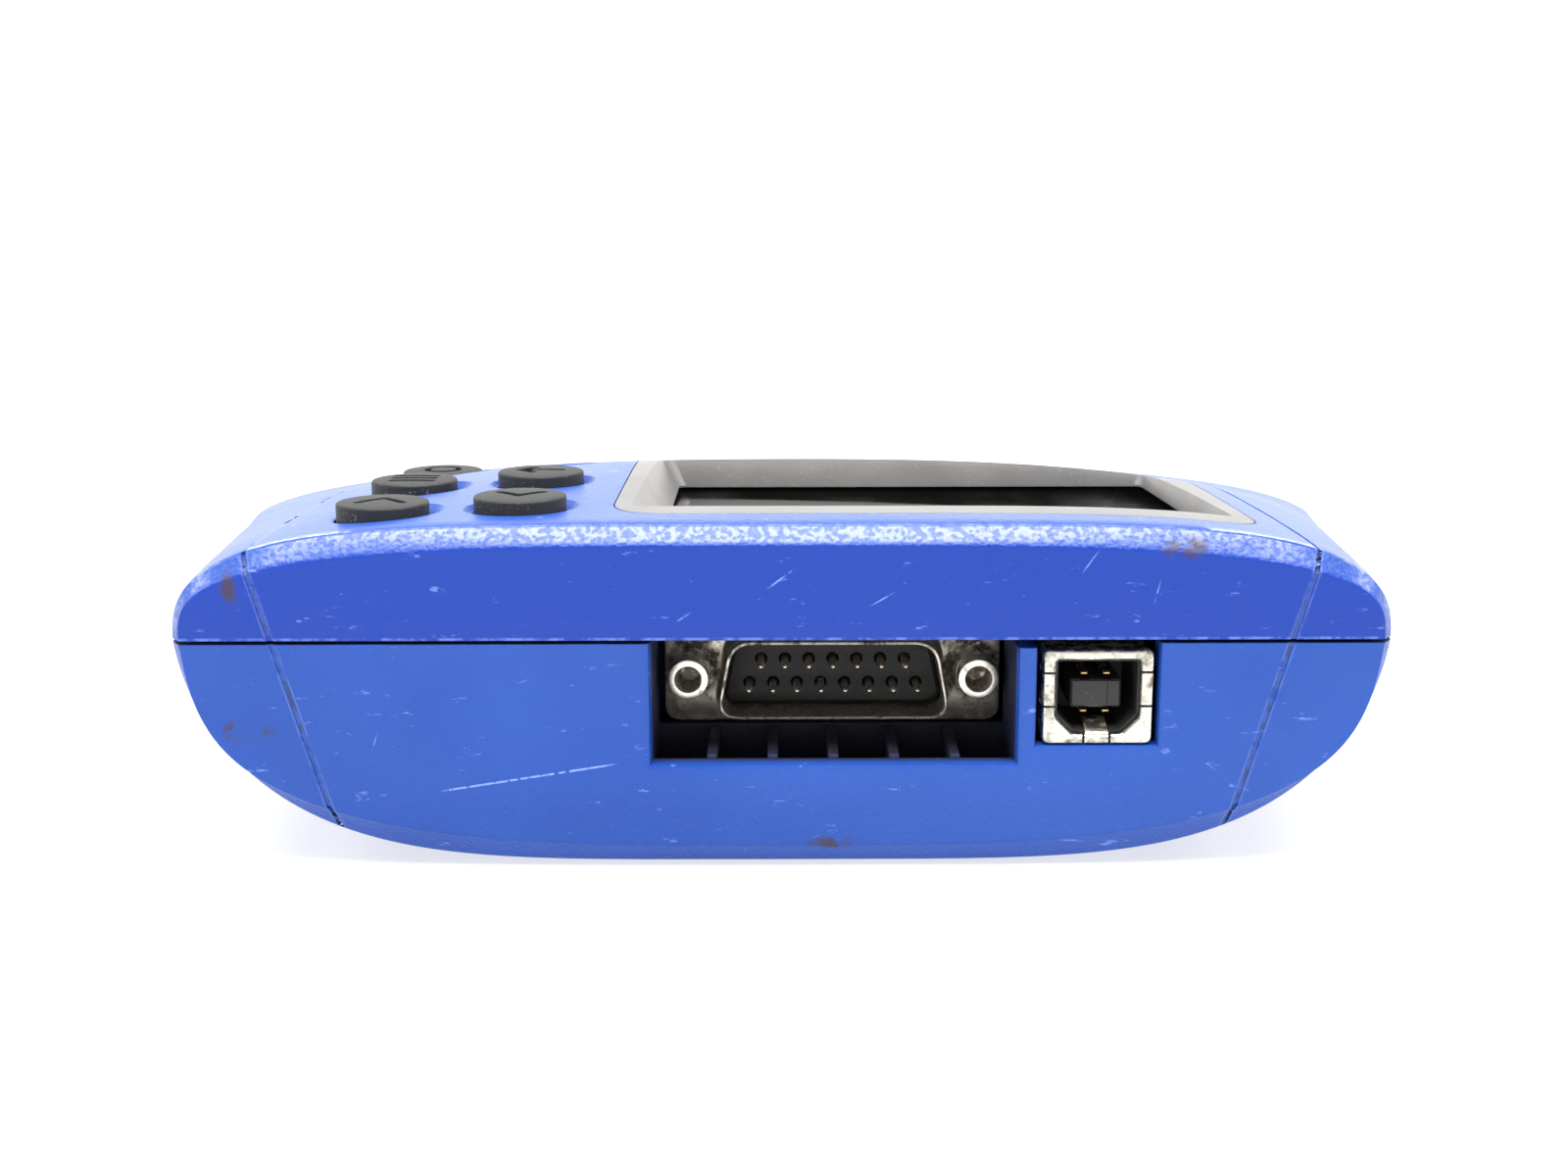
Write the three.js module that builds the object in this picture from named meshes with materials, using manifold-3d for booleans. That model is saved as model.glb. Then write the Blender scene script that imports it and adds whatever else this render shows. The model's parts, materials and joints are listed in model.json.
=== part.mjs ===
// A hand-held OBD code reader: a two-part lens-shaped case with a 15-pin cable port and a USB-B port in
// its flat end, a screen, five round rubber keys and a battery bay with a swing-down door underneath.
// Millimetres. +Z is up, the flat connector end faces -Y, and the origin is the middle of the base.
import * as THREE from "three";
import { mergeVertices } from "three/addons/utils/BufferGeometryUtils.js";
import Module from "manifold-3d";

const wasm = await Module();
wasm.setup();

// ---- driving dimensions ----
const bodyLength = 124;
const widestAt = 82; // distance from the connector end to the widest section
const widest = 78.5; // half width there
const endHalfWidth = 66.8; // half width at the connector end, before its chamfer
const partingZ = 26; // height of the seam between the covers
const seamGap = 0.4;
const crownRise = 12.8; // deck height over the seam
const bellyDepth = 26.15; // belly depth under the seam, trimmed flat at the floor
const wall = 2.2;
const fit = 0.3; // gap between pieces that touch
const chamferLength = 1.8; // of the bevel round the connector end

const frontY = -bodyLength / 2;
const at = (distance) => frontY + distance; // y of a place given by its distance from the connector end

const obd = { x: 5.9, z: 19.3, flangeAt: 14.7, flangeWidth: 39.2, flangeHeight: 12.5, screwSpacing: 33.32 };
const usb = { x: 34.8, z: 19.6, width: 12.1, height: 10.6, from: 0.3, to: 16.3 };
const recess = { left: -14.4, right: 25.9, sill: 12.1, floor: 5.5, to: 14.2, wall: 1.5 };
const usbPort = { left: 28, right: 41.5, sill: 14.1 };
const board = { bottom: 26.8, top: 28.4, halfWidth: 61, front: 4.6, rear: 76 };
const keyRadius = 5.3;
const keyTravel = 1.2;
const keyRows = [14.2, 34.2, 55]; // distances from the connector end
const keyColumns = [-45.8, -30];
const bezelEdge = { left: -19.2, right: 54.4, near: 8.5, far: 62.4, corner: 7 };
const bay = { halfWidth: 23, front: 33, rear: 90, ceiling: 18.6, wall: 1.5 };
const cell = { radius: 7.2, length: 50, z: 10.7, spacing: 14.8, front: 36.6 };
const caseScrews = [[57, 23, 32.4], [46, 70, 31]]; // x, distance from the end and tip height, on both sides

// ---- materials ----
const plastic = (color, roughness) => new THREE.MeshStandardMaterial({ color, roughness, metalness: 0 });
const metal = (color, roughness) => new THREE.MeshStandardMaterial({ color, roughness, metalness: 1 });
const finish = {
  caseBlue: plastic(0x2f52c8, 0.5),
  trimGrey: plastic(0x9c9fa0, 0.55),
  clear: new THREE.MeshStandardMaterial({ color: 0x20242a, roughness: 0.1, transparent: true, opacity: 0.4 }),
  screen: plastic(0x2b2f2c, 0.2),
  white: plastic(0xe8e8e2, 0.5),
  boardGreen: plastic(0x1d5b35, 0.5),
  black: plastic(0x17181a, 0.5),
  rubber: plastic(0x26272a, 0.8),
  nickel: metal(0xb9b3a0, 0.35),
  steel: metal(0x9a9b9d, 0.35),
  gold: metal(0xc79a3e, 0.3),
  cellJacket: plastic(0x3a3f46, 0.35),
  red: plastic(0xa32020, 0.5),
};

// ---- solids ----
const radians = THREE.MathUtils.degToRad;

function solid(geometry) {
  const bare = geometry.clone();
  bare.deleteAttribute("normal");
  bare.deleteAttribute("uv");
  const merged = mergeVertices(bare, 1e-4);
  const mesh = new wasm.Mesh({
    numProp: 3,
    vertProperties: merged.attributes.position.array,
    triVerts: new Uint32Array(merged.index.array),
  });
  return new wasm.Manifold(mesh);
}

function geometryOf(manifold) {
  const { vertProperties, triVerts, numProp } = manifold.getMesh();
  const position = new Float32Array((vertProperties.length / numProp) * 3);
  for (let i = 0; i < position.length / 3; i++)
    for (let k = 0; k < 3; k++) position[3 * i + k] = vertProperties[numProp * i + k];
  const geometry = new THREE.BufferGeometry();
  geometry.setAttribute("position", new THREE.BufferAttribute(position, 3));
  geometry.setIndex(new THREE.BufferAttribute(new Uint32Array(triVerts), 1));
  geometry.computeVertexNormals();
  return geometry;
}

const all = (solids) => solids.reduce((sum, one) => sum.add(one));

function box(x0, x1, y0, y1, z0, z1) {
  const geometry = new THREE.BoxGeometry(x1 - x0, y1 - y0, z1 - z0);
  return solid(geometry.translate((x0 + x1) / 2, (y0 + y1) / 2, (z0 + z1) / 2));
}

// An upright round post, and one that lies along Y.
function post(x, y, z0, z1, radius, sides = 16, topRadius = radius) {
  const geometry = new THREE.CylinderGeometry(topRadius, radius, z1 - z0, sides).rotateX(Math.PI / 2);
  return solid(geometry.translate(x, y, (z0 + z1) / 2));
}

function rod(x, z, y0, y1, radius, sides = 16, frontRadius = radius) {
  const geometry = new THREE.CylinderGeometry(radius, frontRadius, y1 - y0, sides);
  return solid(geometry.translate(x, (y0 + y1) / 2, z));
}

// A plan shape raised along Z, and an X-Z shape drawn out along Y.
function prism(shape, z0, z1, curveSegments = 5) {
  const geometry = new THREE.ExtrudeGeometry(shape, { depth: z1 - z0, bevelEnabled: false, curveSegments });
  return solid(geometry.translate(0, 0, z0));
}

function profileAlongY(shape, y0, y1, curveSegments = 5) {
  const geometry = new THREE.ExtrudeGeometry(shape, { depth: y1 - y0, bevelEnabled: false, curveSegments });
  return solid(geometry.rotateX(Math.PI / 2).translate(0, y1, 0));
}

// A polygon whose corners are rounded by one radius, from corner points in order.
function roundedPolygon(corners, radius) {
  const shape = new THREE.Shape();
  corners.forEach((corner, i) => {
    const before = corners[(i + corners.length - 1) % corners.length];
    const after = corners[(i + 1) % corners.length];
    const p = new THREE.Vector2(...corner);
    const start = p.clone().add(new THREE.Vector2(...before).sub(p).setLength(radius));
    const end = p.clone().add(new THREE.Vector2(...after).sub(p).setLength(radius));
    if (i === 0) shape.moveTo(start.x, start.y);
    else shape.lineTo(start.x, start.y);
    shape.quadraticCurveTo(p.x, p.y, end.x, end.y);
  });
  shape.closePath();
  return shape;
}

const rectangle = (x0, x1, y0, y1) => [[x0, y0], [x1, y0], [x1, y1], [x0, y1]];

// ---- the body: cross-sections scaled from one rounded outline ----
function halfWidthAt(distance) {
  if (distance < widestAt)
    return widest - (widest - endHalfWidth) * ((widestAt - distance) / widestAt) ** 1.05;
  const run = (distance - widestAt) / (bodyLength + 0.4 - widestAt);
  return widest * (1 - run ** 2.4) ** (1 / 2.4);
}

// The deck is almost level as far as the screen's far edge, then slopes down in a straight line.
function riseAt(distance) {
  const level = crownRise - (distance - 12) ** 2 / 9000;
  const slope = 20.35 - 0.1475 * distance;
  const blend = 0.35;
  const deck = -blend * Math.log(Math.exp(-level / blend) + Math.exp(-slope / blend));
  const run = Math.max(0, (distance - 108) / (bodyLength + 0.2 - 108));
  return deck * Math.sqrt(1 - run ** 3);
}

function depthAt(distance) {
  const run = Math.max(0, (distance - 66) / (bodyLength + 0.4 - 66));
  const lifted = 0.5 * Math.exp(-(distance - chamferLength) / 6);
  return (bellyDepth - lifted) * (1 - run ** 2.3) ** 0.526;
}

// A section's outline is a power of a circle's cosine across and of its sine up. The powers grow towards
// the widest section, so that the shoulders turn from square at the connector end to round.
const endPowers = { deckAcross: 0.571, deckUp: 0.63, bellyAcross: 0.631, bellyUp: 0.625 };

function powersAt(distance) {
  const t = Math.min(1, distance / widestAt) ** 1.3;
  const between = (a, b) => a + (b - a) * t;
  return {
    deckAcross: between(0.38, 1),
    deckUp: between(0.75, 1.3),
    bellyAcross: between(0.42, 0.6),
    bellyUp: between(1, 1.2),
  };
}

function sectionOutline({ halfWidth, rise, depth, powers }, perQuarter) {
  const points = [];
  for (let i = 0; i < 4 * perQuarter; i++) {
    const turn = (i / perQuarter) * (Math.PI / 2);
    const across = Math.abs(Math.cos(turn));
    const up = Math.abs(Math.sin(turn));
    const side = Math.sign(Math.round(Math.cos(turn) * 1e6));
    const low = i > 2 * perQuarter;
    const height = low ? -(up ** powers.bellyUp) : up ** powers.deckUp;
    const reach = low ? (1 + 0.045 * height) * across ** powers.bellyAcross : across ** powers.deckAcross;
    points.push([side * reach * halfWidth, partingZ + height * (low ? depth : rise)]);
  }
  return points;
}

function stationAt(distance, inset) {
  return {
    distance,
    halfWidth: halfWidthAt(distance) - inset,
    rise: riseAt(distance) - inset,
    depth: depthAt(distance) - inset,
    powers: powersAt(distance),
  };
}

function loft(stations, perQuarter = 9) {
  const rings = stations.map((station) =>
    sectionOutline(station, perQuarter).map(([x, z]) => [x, at(station.distance), z]),
  );
  const count = 4 * perQuarter;
  const positions = rings.flat(2);
  const index = [];
  for (let r = 0; r + 1 < rings.length; r++)
    for (let i = 0; i < count; i++) {
      const [a, b] = [r * count + i, r * count + ((i + 1) % count)];
      index.push(a, a + count, b, b, a + count, b + count);
    }
  const last = (rings.length - 1) * count;
  for (let i = 1; i + 1 < count; i++) {
    index.push(0, i, i + 1);
    index.push(last, last + i + 1, last + i);
  }
  const geometry = new THREE.BufferGeometry();
  geometry.setAttribute("position", new THREE.Float32BufferAttribute(positions, 3));
  geometry.setIndex(index);
  return solid(geometry);
}

function bodySolid(steps = 13) {
  const stations = [{ distance: 0, halfWidth: 65.85, rise: 10.65, depth: 23.3, powers: endPowers }];
  for (let i = 0; i <= steps; i++)
    stations.push(stationAt(i === 0 ? chamferLength : bodyLength * Math.sin((Math.PI / 2) * (i / steps)), 0));
  return loft(stations).intersect(box(-200, 200, -200, 200, 0, 100));
}

// The hollow inside, a wall's thickness in, or any other depth under the skin.
function hollowSolid(inset, from, to, steps = 9) {
  const stations = [];
  for (let i = 0; i <= steps; i++)
    stations.push(stationAt(from + (to - from) * Math.sin((Math.PI / 2) * (i / steps)), inset));
  return loft(stations, 7);
}

const outer = bodySolid();
const inner = hollowSolid(wall, 2.4, 114);
const shell = outer.subtract(inner);
const above = (z) => box(-200, 200, -200, 200, z, 200);
const below = (z) => box(-200, 200, -200, 200, -200, z);
const upperBottom = partingZ + seamGap / 2;
const lowerTop = partingZ - seamGap / 2;
const screwHead = 14.6; // height of the seats that the screw heads pull up against
const bothSides = (places) => places.flatMap(([x, ...rest]) => [[x, ...rest], [-x, ...rest]]);

// ---- screen trim ----
// The opening's corners: the right edge leans in a little towards the far side.
const slopeTop = [[-17.4, at(13.4)], [53, at(13.4)], [50.6, at(57.6)], [-16.8, at(57.6)]];
const slopeFoot = [[-13.9, at(17.3)], [51.2, at(17.3)], [48.6, at(55.2)], [-13.9, at(55.2)]];
const trimFoot = 34.3;

// The cut that the sloping inside walls leave: a straight-sided funnel from its foot to above the deck.
function funnel(foot, top, z0, z1) {
  const vertices = [...foot.map(([x, y]) => [x, y, z0]), ...top.map(([x, y]) => [x, y, z1])];
  const geometry = new THREE.BufferGeometry();
  geometry.setAttribute("position", new THREE.Float32BufferAttribute(vertices.flat(), 3));
  const index = [0, 2, 1, 0, 3, 2, 4, 5, 6, 4, 6, 7];
  for (let i = 0; i < 4; i++) {
    const j = (i + 1) % 4;
    index.push(i, j, j + 4, i, j + 4, i + 4);
  }
  geometry.setIndex(index);
  return solid(geometry);
}

function bezelOutline(grow) {
  const { left, right, near, far, corner } = bezelEdge;
  const corners = rectangle(left - grow, right + grow, at(near) - grow, at(far) + grow);
  return roundedPolygon(corners, corner);
}

const flangeDepth = 1;
const skinUnder = (drop) => outer.translate([0, 0, -drop]);

function screenBezel() {
  const rim = prism(bezelOutline(0), 30, 45).subtract(skinUnder(flangeDepth));
  const body = prism(bezelOutline(-2), trimFoot, 45);
  const deckHeight = 39.2;
  const cut = funnel(slopeFoot, slopeTop, trimFoot - 0.01, deckHeight)
    .add(prism(roundedPolygon(slopeTop, 0.4), deckHeight - 0.2, 50, 1));
  return rim.add(body).intersect(outer).subtract(cut);
}

// ---- upper cover ----
function upperCover() {
  let cover = shell.intersect(above(upperBottom));
  const posts = bothSides(caseScrews).map(([x, d]) => post(x, at(d), board.top + fit, 45, 3.6, 14));
  cover = cover.add(all(posts).intersect(skinUnder(1)));
  const pilots = bothSides(caseScrews).map(([x, d, tip]) => post(x, at(d), 20, tip + fit, 1.7, 10));
  const seat = prism(bezelOutline(fit), 30, 45).subtract(skinUnder(flangeDepth + fit));
  const opening = prism(bezelOutline(-2 + fit), 20, 45);
  const keyHoles = keySites.map(({ x, y, deck }) =>
    post(x, y, 20, 45, keyRadius + fit, 20).add(post(x, y, deck - 0.8, deck + 0.4, 5.9, 20, 7)),
  );
  const lightHole = prism(roundedPolygon(rectangle(-33.2, -26.8, at(53.2), at(56.8)), 1.7), 20, 45, 3);
  return cover.subtract(all([...pilots, seat, opening, ...keyHoles, lightHole]));
}

// Height of the deck over a place in the plan.
function deckAt(x, distance) {
  const { deckAcross, deckUp } = powersAt(distance);
  const across = Math.abs(x) / halfWidthAt(distance);
  return partingZ + riseAt(distance) * (1 - across ** (2 / deckAcross)) ** (deckUp / 2);
}

const keySites = [
  { name: "down", column: 0, row: 0 },
  { name: "up", column: 1, row: 0 },
  { name: "menu", column: 0, row: 1 },
  { name: "enter", column: 1, row: 1 },
  { name: "power", column: 0, row: 2 },
].map(({ name, column, row }) => {
  const [x, distance] = [keyColumns[column], keyRows[row]];
  return { name, x, y: at(distance), deck: deckAt(x, distance) };
});

// ---- lower cover ----
function seamLip() {
  const slice = (inset, z0, z1) =>
    hollowSolid(inset, inset + 0.2, 116.4 - inset).intersect(above(z0)).intersect(below(z1));
  const root = slice(wall - 1, 22.6, lowerTop).subtract(slice(wall + 1.6, 20, 30));
  const tongue = slice(wall + fit, 22.6, partingZ + 1.5).subtract(slice(wall + 1.6, 20, 30));
  return root.add(tongue);
}

function portRecess() {
  const { left, right, floor, to, wall: t } = recess;
  const tub = box(left - t, right + t, at(1.2), at(to + t), floor - t, lowerTop)
    .subtract(box(left, right, at(2.4), at(to), floor, 40))
    .subtract(box(left - 3, right + 3, at(to), at(to + 3), 12.8, 40));
  const ribs = [-2, -1, 0, 1, 2].map((k) => {
    const x = (left + right) / 2 + k * 6.78;
    return box(x - 0.65, x + 0.65, at(2), at(to + 0.5), floor - 0.5, 12.6);
  });
  return tub.add(all(ribs));
}

function batteryTray() {
  const { halfWidth: w, front, rear, ceiling, wall: t } = bay;
  const tray = box(-w - t, w + t, at(front - t), at(rear + t), 1, ceiling + t);
  const room = box(-w, w, at(front), at(rear), -5, ceiling);
  const tabSlots = [-13, 13].map((x) => box(x - 4, x + 4, at(front - t - 1), at(front + 1), -1, 6.5));
  return tray.intersect(outer).subtract(all([room, ...tabSlots]));
}

const doorEdge = { halfWidth: 24, front: 33, rear: 89.6 };
const doorPrism = (grow) => {
  const { halfWidth: w, front, rear } = doorEdge;
  return prism(roundedPolygon(rectangle(-w - grow, w + grow, at(front) - grow, at(rear) + grow), 2), -5, 9, 2);
};

function lowerCover() {
  let cover = shell.intersect(below(lowerTop)).add(seamLip());
  const sleeves = bothSides(caseScrews).map(([x, d]) => post(x, at(d), -5, board.bottom - fit, 4, 14));
  cover = cover.add(all(sleeves).intersect(outer)).add(portRecess()).add(batteryTray());
  const { left, right, sill } = recess;
  const portCuts = [
    box(left, right, at(-1), at(5), sill, 40),
    box(usbPort.left, usbPort.right, at(-1), at(17.5), usbPort.sill, 40),
    box(right - 0.5, usbPort.left + 0.5, at(-1), at(5), 25.2, 40),
  ];
  const seats = bothSides(caseScrews).map(([x, d]) => post(x, at(d), -5, screwHead, 3.1, 14));
  const clearances = bothSides(caseScrews).map(([x, d]) => post(x, at(d), 5, 30, 1.8, 10));
  return cover.subtract(all([...portCuts, ...seats, ...clearances, doorPrism(fit)]));
}

// ---- battery door: a piece of the belly with two tabs in front and a tongue behind ----
function batteryDoor() {
  const skin = outer.subtract(outer.translate([0, 0, 2])).intersect(doorPrism(0));
  const tabs = [-13, 13].map((x) =>
    box(x - 3, x + 3, at(33.4), at(36), 1.5, 3.8).add(box(x - 3, x + 3, at(30.4), at(36), 2.6, 3.8)),
  );
  const tongue = box(-5, 5, at(86.9), at(88.1), 1.5, 6.4);
  const grips = [-1, 0, 1].map((k) => box(-7, 7, at(82 + 2.4 * k), at(83 + 2.4 * k), -1, 0.5));
  return skin.add(all([...tabs, tongue])).subtract(all(grips));
}

// ---- cable port: a right-angled 15-pin connector hung under the board ----
const shellReach = 5.9; // how far the shell stands out of its flange
const pinPitch = 2.77;
const rowPitch = 2.84;

function dOutline(halfWidth, halfHeight, radius) {
  const lean = 2 * halfHeight * Math.tan(radians(10));
  const corners = [
    [-halfWidth, -halfHeight],
    [halfWidth, -halfHeight],
    [halfWidth - lean, halfHeight],
    [lean - halfWidth, halfHeight],
  ].map(([x, z]) => [x + obd.x, z + obd.z]);
  return roundedPolygon(corners, radius);
}

function obdShell() {
  const { x, z, flangeAt, flangeWidth: w, flangeHeight: h, screwSpacing } = obd;
  const plate = profileAlongY(
    roundedPolygon(rectangle(x - w / 2, x + w / 2, z - h / 2, z + h / 2), 1.6),
    at(flangeAt),
    at(flangeAt + 0.6),
    2,
  );
  const collar = profileAlongY(dOutline(12.95, 4.6, 2.6), at(flangeAt - shellReach), at(flangeAt + 0.5), 4);
  const hollow = profileAlongY(dOutline(12.5, 4.15, 2.2), at(0), at(30), 4);
  const holes = [-1, 1].map((s) => rod(x + (s * screwSpacing) / 2, z, at(10), at(20), 1.9, 12));
  return plate.add(collar).subtract(all([hollow, ...holes]));
}

const pinSites = [8, 7].flatMap((count, row) =>
  Array.from({ length: count }, (_, i) => ({
    x: obd.x + (i - (count - 1) / 2) * pinPitch,
    z: obd.z + (row - 0.5) * rowPitch,
    bendAt: 23.5 + 2.54 * row,
  })),
);

function obdInsulator() {
  const { x, z, flangeAt } = obd;
  const nose = profileAlongY(dOutline(12.2, 3.85, 2), at(flangeAt - 0.8), at(flangeAt + 1), 3);
  const block = box(x - 18.8, x + 18.8, at(flangeAt + 0.9), at(flangeAt + 6.4), z - 5.6, z + 6.6);
  const holes = pinSites.map((pin) => rod(pin.x, pin.z, at(5), at(30), 0.8, 6));
  const screws = [-1, 1].map((s) => rod(x + (s * obd.screwSpacing) / 2, z, at(5), at(30), 1.9, 12));
  return nose.add(block).subtract(all([...holes, ...screws]));
}

function obdPin({ x, z, bendAt }) {
  const tip = at(obd.flangeAt - shellReach + 0.8);
  const blade = rod(x, z, tip, at(bendAt + 0.4), 0.5, 6);
  return blade.add(box(x - 0.3, x + 0.3, at(bendAt - 0.3), at(bendAt + 0.3), z, board.bottom - fit));
}

function jackScrew(side) {
  const x = obd.x + (side * obd.screwSpacing) / 2;
  const face = at(obd.flangeAt) - fit;
  const hexagon = rod(x, obd.z, face - 2.6, face, 2.75, 6);
  const nose = rod(x, obd.z, face - 4.9, face - 2.4, 2.33, 16);
  const shank = rod(x, obd.z, face - 1, at(obd.flangeAt + 5.5), 1.45, 12);
  const bore = rod(x, obd.z, face - 9, face - 0.2, 1.42, 12);
  return hexagon.add(nose).add(shank).subtract(bore);
}

// ---- USB-B port, upside down under the board ----
function usbMouth(halfWidth, halfHeight, bevel) {
  const [x, z] = [usb.x, usb.z];
  const shape = new THREE.Shape();
  shape.moveTo(x - halfWidth, z + halfHeight);
  shape.lineTo(x - halfWidth, z - halfHeight + bevel);
  shape.lineTo(x - halfWidth + bevel, z - halfHeight);
  shape.lineTo(x + halfWidth - bevel, z - halfHeight);
  shape.lineTo(x + halfWidth, z - halfHeight + bevel);
  shape.lineTo(x + halfWidth, z + halfHeight);
  shape.closePath();
  return shape;
}

function usbShell() {
  const { x, z, width, height, from, to } = usb;
  const can = box(x - width / 2, x + width / 2, at(from), at(to), z - height / 2, z + height / 2);
  const room = box(x - width / 2 + 0.4, x + width / 2 - 0.4, at(from + 0.5), at(30), z - height / 2 + 0.4, z + height / 2 - 0.4);
  return can.subtract(room).subtract(profileAlongY(usbMouth(4.6, 4.25, 1.9), at(-5), at(5)));
}

function usbInsulator() {
  const { x, z, from, to } = usb;
  const block = box(x - 5.35, x + 5.35, at(from + 0.8), at(to), z - 4.6, z + 4.6);
  const socket = profileAlongY(usbMouth(4.35, 4, 1.8), at(-5), at(from + 11));
  const tongue = box(x - 2.8, x + 2.8, at(from + 1.8), at(from + 12), z - 1.6, z + 1.6);
  return block.subtract(socket).add(tongue);
}

function usbContact(side, row) {
  const [x, z] = [usb.x + side * 1.25, usb.z + row * 2.15];
  return box(x - 0.45, x + 0.45, at(usb.from + 2.4), at(usb.from + 10.7), z - 0.2, z + 0.2);
}

// ---- main board and what is soldered to it ----
function mainBoard() {
  const { bottom, top, halfWidth: w, front, rear } = board;
  const notch = at(recess.to + 1.8);
  const outline = new THREE.Shape([
    new THREE.Vector2(-46, at(front)),
    new THREE.Vector2(recess.left - 2.4, at(front)),
    new THREE.Vector2(recess.left - 2.4, notch),
    new THREE.Vector2(recess.right + 1.2, notch),
    new THREE.Vector2(recess.right + 1.2, at(front)),
    new THREE.Vector2(46, at(front)),
    new THREE.Vector2(46, at(19)),
    new THREE.Vector2(w, at(19)),
    new THREE.Vector2(w, at(rear)),
    new THREE.Vector2(-w, at(rear)),
    new THREE.Vector2(-w, at(19)),
    new THREE.Vector2(-46, at(19)),
  ]);
  const holes = bothSides(caseScrews).map(([x, d]) => post(x, at(d), 20, 40, 1.8, 10));
  const pads = keySites.map(({ x, y }) => post(x, y, top - 0.1, top + 0.1, 3, 14));
  return prism(outline, bottom, top).subtract(all(holes)).add(all(pads));
}

const underBoard = (x, d, width, length, height) =>
  box(x - width / 2, x + width / 2, at(d) - length / 2, at(d) + length / 2,
    board.bottom - fit - height, board.bottom - fit);

const processorChip = () => underBoard(-22, 27, 12, 12, 1.6);
const memoryChip = () => underBoard(44, 34, 10, 7.5, 1.6);

const crystal = () => prism(
  roundedPolygon(rectangle(-38, -28, at(40), at(44.6)), 2.2), board.bottom - fit - 3.5, board.bottom - fit, 3);

// ---- screen ----
const glass = { left: -16.6, right: 52.4, near: 12.6, far: 58.6 };

const screenPlate = (shrink, z0, z1) =>
  box(glass.left + shrink, glass.right - shrink, at(glass.near + shrink), at(glass.far - shrink), z0, z1);

const screenWindow = () => prism(
  roundedPolygon(rectangle(glass.left, glass.right - 0.2, at(glass.near), at(glass.far - 0.6)), 3),
  32.5, 34, 2);
const lcdGlass = () => screenPlate(1.4, 30, 31.2);
const lcdBacklight = () => screenPlate(1.6, board.top + fit, 29.7);
const lcdFrame = () => screenPlate(0, board.top + fit, 31.2)
  .subtract(screenPlate(1.1, 20, 40));

// The display's flat cable: off the end of the glass, down past its frame and onto the board.
function lcdRibbon() {
  const y = at(glass.far + 0.5);
  return all([
    box(6, 30, y, y + 0.35, board.top + fit, 31),
    box(6, 30, y, y + 6, board.top + fit, board.top + fit + 0.35),
  ]);
}

// ---- keypad ----
const matBottom = board.top + 0.5;
const matTop = matBottom + 1.2;

function keypadMat() {
  const { left, right, near, far } = { left: -53.2, right: -21.4, near: 6.4, far: 61.6 };
  const sheet = prism(roundedPolygon(rectangle(left, right, at(near), at(far)), 2), matBottom, matTop, 3);
  const rings = keySites.map(({ x, y }) => post(x, y, 0, 50, keyRadius + 0.9, 20));
  return sheet.subtract(all([...rings, post(-30, at(55), 0, 50, 3.4, 14)]));
}

// The marks sunk in the key tops, drawn for a reader who holds the case with the cable end away.
const bar = (x0, y0, x1, y1, width) => {
  const along = new THREE.Vector2(x1 - x0, y1 - y0);
  const side = new THREE.Vector2(-along.y, along.x).setLength(width / 2);
  return [
    [x0 - side.x, y0 - side.y], [x1 - side.x, y1 - side.y],
    [x1 + side.x, y1 + side.y], [x0 + side.x, y0 + side.y],
  ];
};
const keyMarks = {
  down: [bar(-2.2, -0.9, 0.25, 1, 0.9), bar(-0.25, 1, 2.2, -0.9, 0.9)],
  up: [bar(-2.2, 0.9, 0.25, -1, 0.9), bar(-0.25, -1, 2.2, 0.9, 0.9)],
  menu: [-1.4, 0, 1.4].map((y) => bar(-2.1, y, 2.1, y, 0.7)),
  enter: [bar(-2.2, 0, 2.2, 0, 0.8), bar(-2.2, 0, -0.9, 1.3, 0.8), bar(-2.2, 0, -0.9, -1.3, 0.8)],
  power: [],
};
const keyProud = 1.35;

function keyCap({ name, x, y, deck }) {
  const top = deck + keyProud;
  const r = keyRadius;
  const profile = [
    [0, matBottom + keyTravel], [3.2, matBottom + keyTravel], [3.2, matTop + keyTravel + 0.2],
    [r, matTop + keyTravel + 0.6], [r, top - 0.45], [r - 0.4, top - 0.05], [r * 0.5, top + 0.12], [0, top + 0.18],
  ].map(([radius, z]) => new THREE.Vector2(radius, z));
  const lathe = new THREE.LatheGeometry(profile, 18).rotateX(Math.PI / 2);
  let cap = solid(lathe).translate([x, y, 0]);
  const marks = keyMarks[name].map((corners) =>
    prism(new THREE.Shape(corners.map(([u, v]) => new THREE.Vector2(x + u, y + v))), top - 0.5, top + 3));
  if (name === "power")
    marks.push(post(x, y, top - 0.5, top + 3, 2.5, 16).subtract(post(x, y, 0, 60, 1.6, 12)));
  return cap.subtract(all(marks));
}

// ---- status light ----
const statusLens = () =>
  prism(roundedPolygon(rectangle(-32.8, -27.2, at(53.6), at(56.4)), 1.35), 31.4, deckAt(-30, 55) - 0.9, 3);
const statusLed = () => box(-31.6, -28.4, at(54.2), at(55.8), board.top + 0.1, board.top + 1.1);

// ---- batteries ----
const cellColumns = [-1, 0, 1];

function battery(column) {
  const [x, r] = [column * cell.spacing, cell.radius];
  const profile = [[0, 0], [r, 0], [r, 48.6], [2.7, 48.6], [2.7, 50], [0, 50]];
  const lathe = new THREE.LatheGeometry(profile.map(([radius, l]) => new THREE.Vector2(radius, l)), 20);
  const turned = column === 0 ? lathe.rotateZ(Math.PI).translate(0, cell.length, 0) : lathe;
  return solid(turned).translate([x, at(cell.front), cell.z]);
}

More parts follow.
